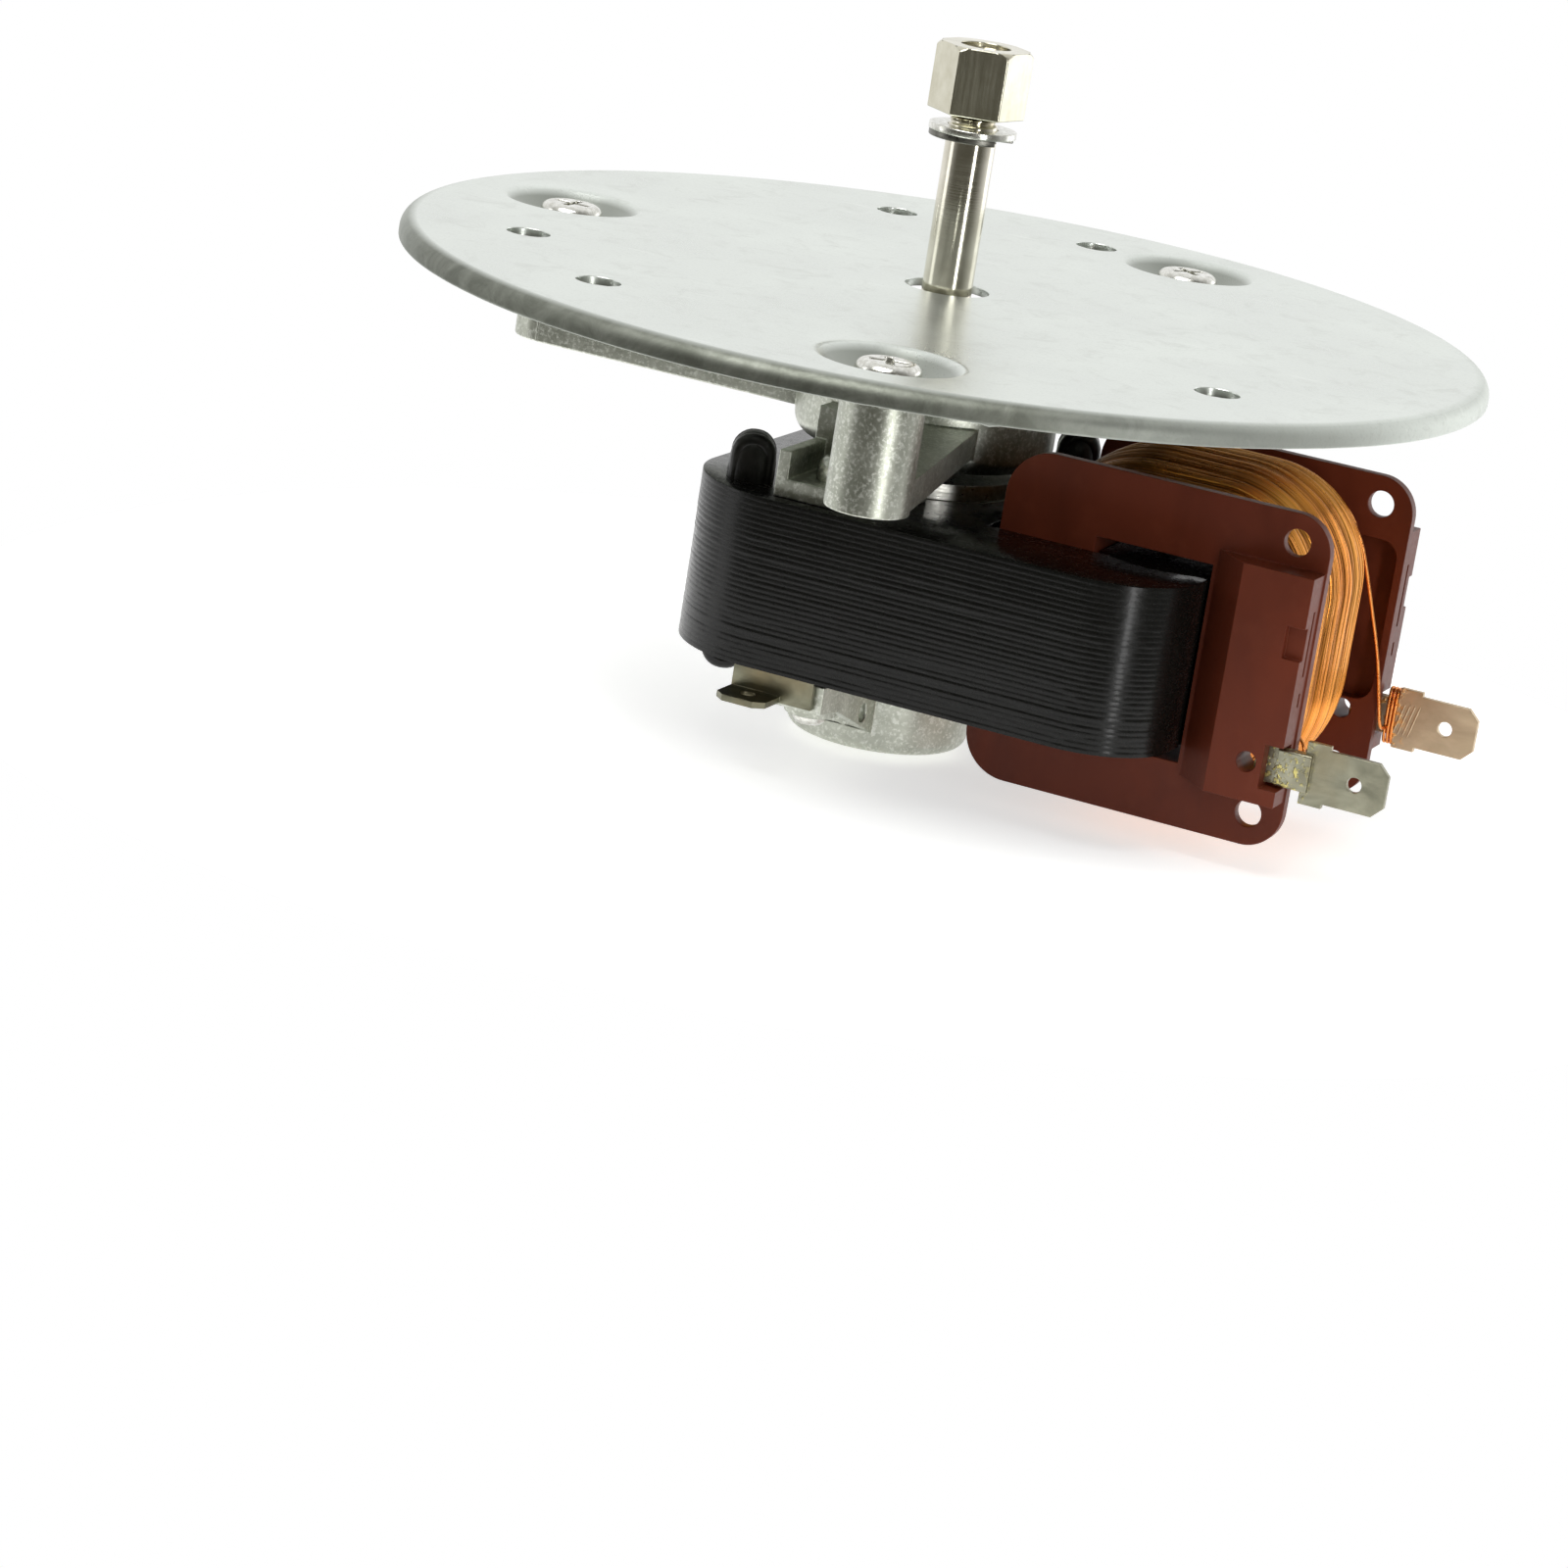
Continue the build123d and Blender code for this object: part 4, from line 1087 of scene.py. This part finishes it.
def coilWinding():
    low, high = (np.array(corner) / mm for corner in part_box("coil_winding"))
    box = (low[0], high[0], low[2], high[2])
    outer = roundedLoop(box, winding["cornerRound"], winding["around"])
    inner = roundedLoop(winding["tube"], winding["tubeRound"], winding["around"])
    width = high[1] - low[1]
    rows = winding["turns"] * winding["perTurn"] + 1
    across = np.linspace(0, 1, rows)
    around = np.arange(winding["around"]) / winding["around"]
    v, u = np.meshgrid(across, around, indexing="ij")
    # the surface sinks towards both flanges, with ridges for turns and two sets of creases between
    # bundles: each crease is (1 - |sin|)^2 of a count of bundles that drifts along the wire
    creases = np.zeros_like(v)
    for number, (count, depth) in enumerate(zip(winding["bundles"], winding["creases"])):
        drift = winding["creaseDrift"] * waves(u, v, (1, 2, 3, 5), 12 + number, 3)
        creases += depth * (1 - np.abs(np.sin(math.pi * (count * v + drift)))) ** 2
    creases /= sum(winding["creases"])
    ridge = np.abs(np.sin(math.pi * v * winding["turns"]))
    crown = winding["edgeSink"] * np.abs(2 * v - 1) ** winding["edgePower"]
    sink = crown + winding["ridge"] * (1 - ridge) + sum(winding["creases"]) * creases
    y = low[1] + v * width + winding["wander"] * waves(u, v, (1, 2, 3), 5, 3) * np.sin(math.pi * v)
    ahead = np.roll(outer, -1, axis=0) - np.roll(outer, 1, axis=0)
    ahead /= np.hypot(ahead[:, 0], ahead[:, 1])[:, None]
    inward = np.stack([-ahead[:, 1], ahead[:, 0]], 1)
    flat = outer[None] + inward[None] * sink[..., None]
    face = np.stack([flat[..., 0], y, flat[..., 1]], -1)
    # painted shade between the turns and in the creases, kept in the point attribute depth
    gapShade, creaseShade, endShade = winding["shading"]
    depth = (1 - ridge) * gapShade + np.sqrt(creases) * creaseShade
    # both end faces run in from the outer turns to the former's tube
    share = np.linspace(0, 1, winding["endRows"])[:, None, None]
    hub = np.stack([inner[:, 0], np.zeros(len(inner)), inner[:, 1]], 1)
    lowEnd = face[0] * share + (hub + (0, low[1], 0)) * (1 - share)
    highEnd = face[-1] * (1 - share) + (hub + (0, high[1], 0)) * share
    grid = np.concatenate([lowEnd[:-1], face, highEnd[1:]])
    # the end faces take painted shade too
    values = np.full(grid.shape[:2], endShade)
    values[winding["endRows"] - 1:winding["endRows"] - 1 + rows] = depth
    shell = Shell()
    shell.addGrid(grid, closeRows=True, closeColumns=True, values=values)
    shell.make("coilWinding", "coil_winding", sharp=180.0, attribute="depth")


# The winding's two wire ends, each a smooth line through a few points
leads = {
    "radius": 0.2,
    "around": 12,
    "steps": 18,
    "rear": [(51.6, 9.9, -18.4), (53.1, 10.6, -21.6), (55.0, 12.7, -29.2), (56.2, 14.1, -34.6),
             (57.2, 14.3, -39.4), (57.8, 14.6, -42.4), (57.9, 16.0, -43.1), (58.0, 16.75, -43.0)],
    "front": [(52.9, -12.3, -31.0), (53.6, -12.8, -34.0), (55.6, -14.1, -37.3),
              (57.4, -14.3, -39.6), (57.7, -15.4, -40.6), (57.7, -16.75, -40.9)],
}


def smoothLine(points, steps):
    # a cubic through every point: each span leaves and arrives along the line between neighbours
    points = np.asarray(points, float)
    tangent = np.gradient(points, axis=0)
    t = np.linspace(0, 1, steps, endpoint=False)[:, None]
    spans = []
    for start, end, leave, arrive in zip(points, points[1:], tangent, tangent[1:]):
        spans.append((2 * t ** 3 - 3 * t ** 2 + 1) * start + (t ** 3 - 2 * t ** 2 + t) * leave
                     + (3 * t ** 2 - 2 * t ** 3) * end + (t ** 3 - t ** 2) * arrive)
    return np.concatenate([*spans, points[-1:]])


def coilLead(name, node, points, steps):
    # a round wire along a smooth line through the points
    shell = Shell()
    shell.addTube(tubeAlong(smoothLine(points, steps), leads["radius"], leads["around"]))
    shell.make(name, node, 60.0, copperLead)


# The rear terminal's grip: turns of wire round it, and slanted teeth pressed into its near face
grip = {
    "turns": 3,
    "pitch": 0.44,
    "start": 57.6,
    "centre": (17.82, -41.7),
    "half": (0.93, 3.3),
    "steps": 48,
    "teeth": 4,
    "toothStart": 59.3,
    "toothPitch": 0.62,
    "toothFace": 17.08,
    "toothHigh": -39.7,
    "toothLow": -43.9,
    "toothLean": 0.5,
    "toothHalf": 0.15,
    "toothRise": 0.13,
    "toothRows": 25,
    "toothAround": 12,
}


def wireTurns():
    # a helix along x on the rounded oblong |y / a|^4 + |z / b|^4 = 1
    turn = np.linspace(0, grip["turns"] * 2 * math.pi, grip["turns"] * grip["steps"] + 1)
    bend = [np.sign(wave) * np.abs(wave) ** 0.5 for wave in (np.cos(turn), np.sin(turn))]
    x = grip["start"] + grip["pitch"] * turn / (2 * math.pi)
    y, z = (at + half * wave for at, half, wave in zip(grip["centre"], grip["half"], bend))
    coilLead("rearTurns", "coil_lead_rear", np.stack([x, y, z], 1), 1)


def terminalTeeth():
    # each tooth is a round bar whose section shrinks to a point at both ends as sqrt(1 - t^4)
    share = np.linspace(-1, 1, grip["toothRows"])[:, None]
    around = np.arange(grip["toothAround"]) / grip["toothAround"] * 2 * math.pi
    size = np.sqrt(1 - share ** 4)
    middle, half = ((grip["toothHigh"] + sign * grip["toothLow"]) / 2 for sign in (1, -1))
    y = grip["toothFace"] + grip["toothRise"] * size * np.sin(around)
    z = middle + half * np.repeat(share, grip["toothAround"], 1)
    shell = Shell()
    for number in range(grip["teeth"]):
        start = grip["toothStart"] + number * grip["toothPitch"]
        x = start + grip["toothLean"] * share + grip["toothHalf"] * size * np.cos(around)
        shell.addGrid(np.stack([x, y, z], -1), closeColumns=True)
    shell.make("rearTeeth", "terminal_rear", 80.0, rearTin)


coilLead("coilLeadFront", "coil_lead_front", leads["front"], leads["steps"])
coilLead("coilLeadRear", "coil_lead_rear", leads["rear"], leads["steps"])
coilWinding()
softEdges("coilBobbin", "coil_bobbin", 0.09)
softEdges("terminalFront", "terminal_front", 0.07)
softEdges("terminalRear", "terminal_rear", 0.07, rearTin)
wireTurns()
terminalTeeth()
print("coil made")


# a solid that no piece has replaced keeps its shape and takes its finish
for node, piece in frame["nodes"].items():
    if not piece.hide_render:
        piece.data.materials.clear()
        piece.data.materials.append(finishes[slotOf[node]])


# Studio: a pale floor, a white surround that is darker on the camera's side, and four soft lights
studio = {
    "floorDrop": 1.0,
    "floorRadius": 115.0,
    "floorTone": 0.82,
    "floorGlow": 0.6,
    "surround": 1.0,
    "darkSide": (0.10, 0.096, 0.080, 1.0),
    "darkAngle": (45.0, 132.0),
}


def stageFloor():
    # a round flat sheet of pale paper that glows only for the camera, gloss and glass
    height = cadLow.z / mm - studio["floorDrop"]
    rim = ringPoints([studio["floorRadius"]], [height], (0.0, 0.0), 128)[0] * mm
    mesh = bpy.data.meshes.new("floor")
    mesh.from_pydata(rim.tolist(), [], [list(range(len(rim)))])
    material = bpy.data.materials.new("floorPaper")
    material.use_nodes = True
    tree = material.node_tree
    tree.nodes.clear()
    kinds = ("BsdfDiffuse", "Emission", "AddShader", "LightPath", "OutputMaterial", "Math", "Math",
             "Math")
    diffuse, glow, both, path, output, scale, orGlossy, orThrough = (
        tree.nodes.new("ShaderNode" + kind) for kind in kinds)
    tone = studio["floorTone"]
    diffuse.inputs["Color"].default_value = (tone, tone, tone, 1.0)
    scale.operation = "MULTIPLY"
    scale.inputs[1].default_value = studio["floorGlow"]
    for node in (orGlossy, orThrough):
        node.operation = "MAXIMUM"
    link = tree.links.new
    link(path.outputs["Is Camera Ray"], orGlossy.inputs[0])
    link(path.outputs["Is Glossy Ray"], orGlossy.inputs[1])
    link(orGlossy.outputs[0], orThrough.inputs[0])
    link(path.outputs["Is Transmission Ray"], orThrough.inputs[1])
    link(orThrough.outputs[0], scale.inputs[0])
    link(scale.outputs[0], glow.inputs["Strength"])
    link(diffuse.outputs[0], both.inputs[0])
    link(glow.outputs[0], both.inputs[1])
    link(both.outputs[0], output.inputs["Surface"])
    mesh.materials.append(material)
    floor = bpy.data.objects.new("floor", mesh)
    bpy.context.scene.collection.objects.link(floor)


def surround():
    # white all round, fading to a dark room behind the camera by the angle from its direction in
    # plan; the camera itself sees white everywhere
    world = bpy.data.worlds.new("surround")
    bpy.context.scene.world = world
    world.use_nodes = True
    tree = world.node_tree
    tree.nodes.clear()
    kinds = ("TexCoord", "VectorMath", "MapRange", "LightPath", "Math", "Mix", "Background",
             "OutputWorld")
    place, facing, fade, path, seen, tone, light, output = (
        tree.nodes.new("ShaderNode" + kind) for kind in kinds)
    facing.operation = "DOT_PRODUCT"
    turn = math.radians(camera["azimuth"])
    facing.inputs[1].default_value = (math.sin(turn), -math.cos(turn), 0.0)
    inner, outer = (math.cos(math.radians(angle)) for angle in studio["darkAngle"])
    fade.interpolation_type = "SMOOTHSTEP"
    fade.inputs["From Min"].default_value = outer
    fade.inputs["From Max"].default_value = inner
    seen.operation = "SUBTRACT"
    seen.use_clamp = True
    tone.data_type = "RGBA"
    tone.inputs[6].default_value = (1.0, 1.0, 1.0, 1.0)
    tone.inputs[7].default_value = studio["darkSide"]
    light.inputs["Strength"].default_value = studio["surround"]
    link = tree.links.new
    link(place.outputs["Generated"], facing.inputs[0])
    link(facing.outputs["Value"], fade.inputs["Value"])
    link(fade.outputs["Result"], seen.inputs[0])
    link(path.outputs["Is Camera Ray"], seen.inputs[1])
    link(seen.outputs[0], tone.inputs[0])
    link(tone.outputs[2], light.inputs["Color"])
    link(light.outputs[0], output.inputs["Surface"])


lamps = [
    # name, azimuth, elevation, then distance, width, height in metres, and watts
    ("topLamp", -12.0, 62.0, 1.1, 0.7, 0.6, 10.5),
    ("leftPanel", -66.0, 8.0, 1.1, 0.34, 0.9, 1.1),
    ("rightStrip", 52.0, 0.0, 1.0, 0.12, 1.0, 4.2),
    ("rearPanel", 146.0, 0.0, 1.1, 0.6, 0.9, 1.5),
]


def addLamp(name, azimuth, elevation, distance, width, height, power):
    # a soft box that faces the origin; azimuth is counted from the near side towards the coil
    turn, rise = math.radians(azimuth), math.radians(elevation)
    level = math.cos(rise)
    place = Vector((math.sin(turn) * level, -math.cos(turn) * level, math.sin(rise)))
    data = bpy.data.lights.new(name, "AREA")
    data.shape = "RECTANGLE"
    data.size = width
    data.size_y = height
    data.energy = power
    lamp = bpy.data.objects.new(name, data)
    lamp.location = place * distance
    lamp.rotation_euler = place.to_track_quat("Z", "Y").to_euler()
    bpy.context.scene.collection.objects.link(lamp)


setCamera()
stageFloor()
surround()
for lamp in lamps:
    addLamp(*lamp)
bpy.context.scene.view_settings.view_transform = "Standard"
print("camera and studio set")
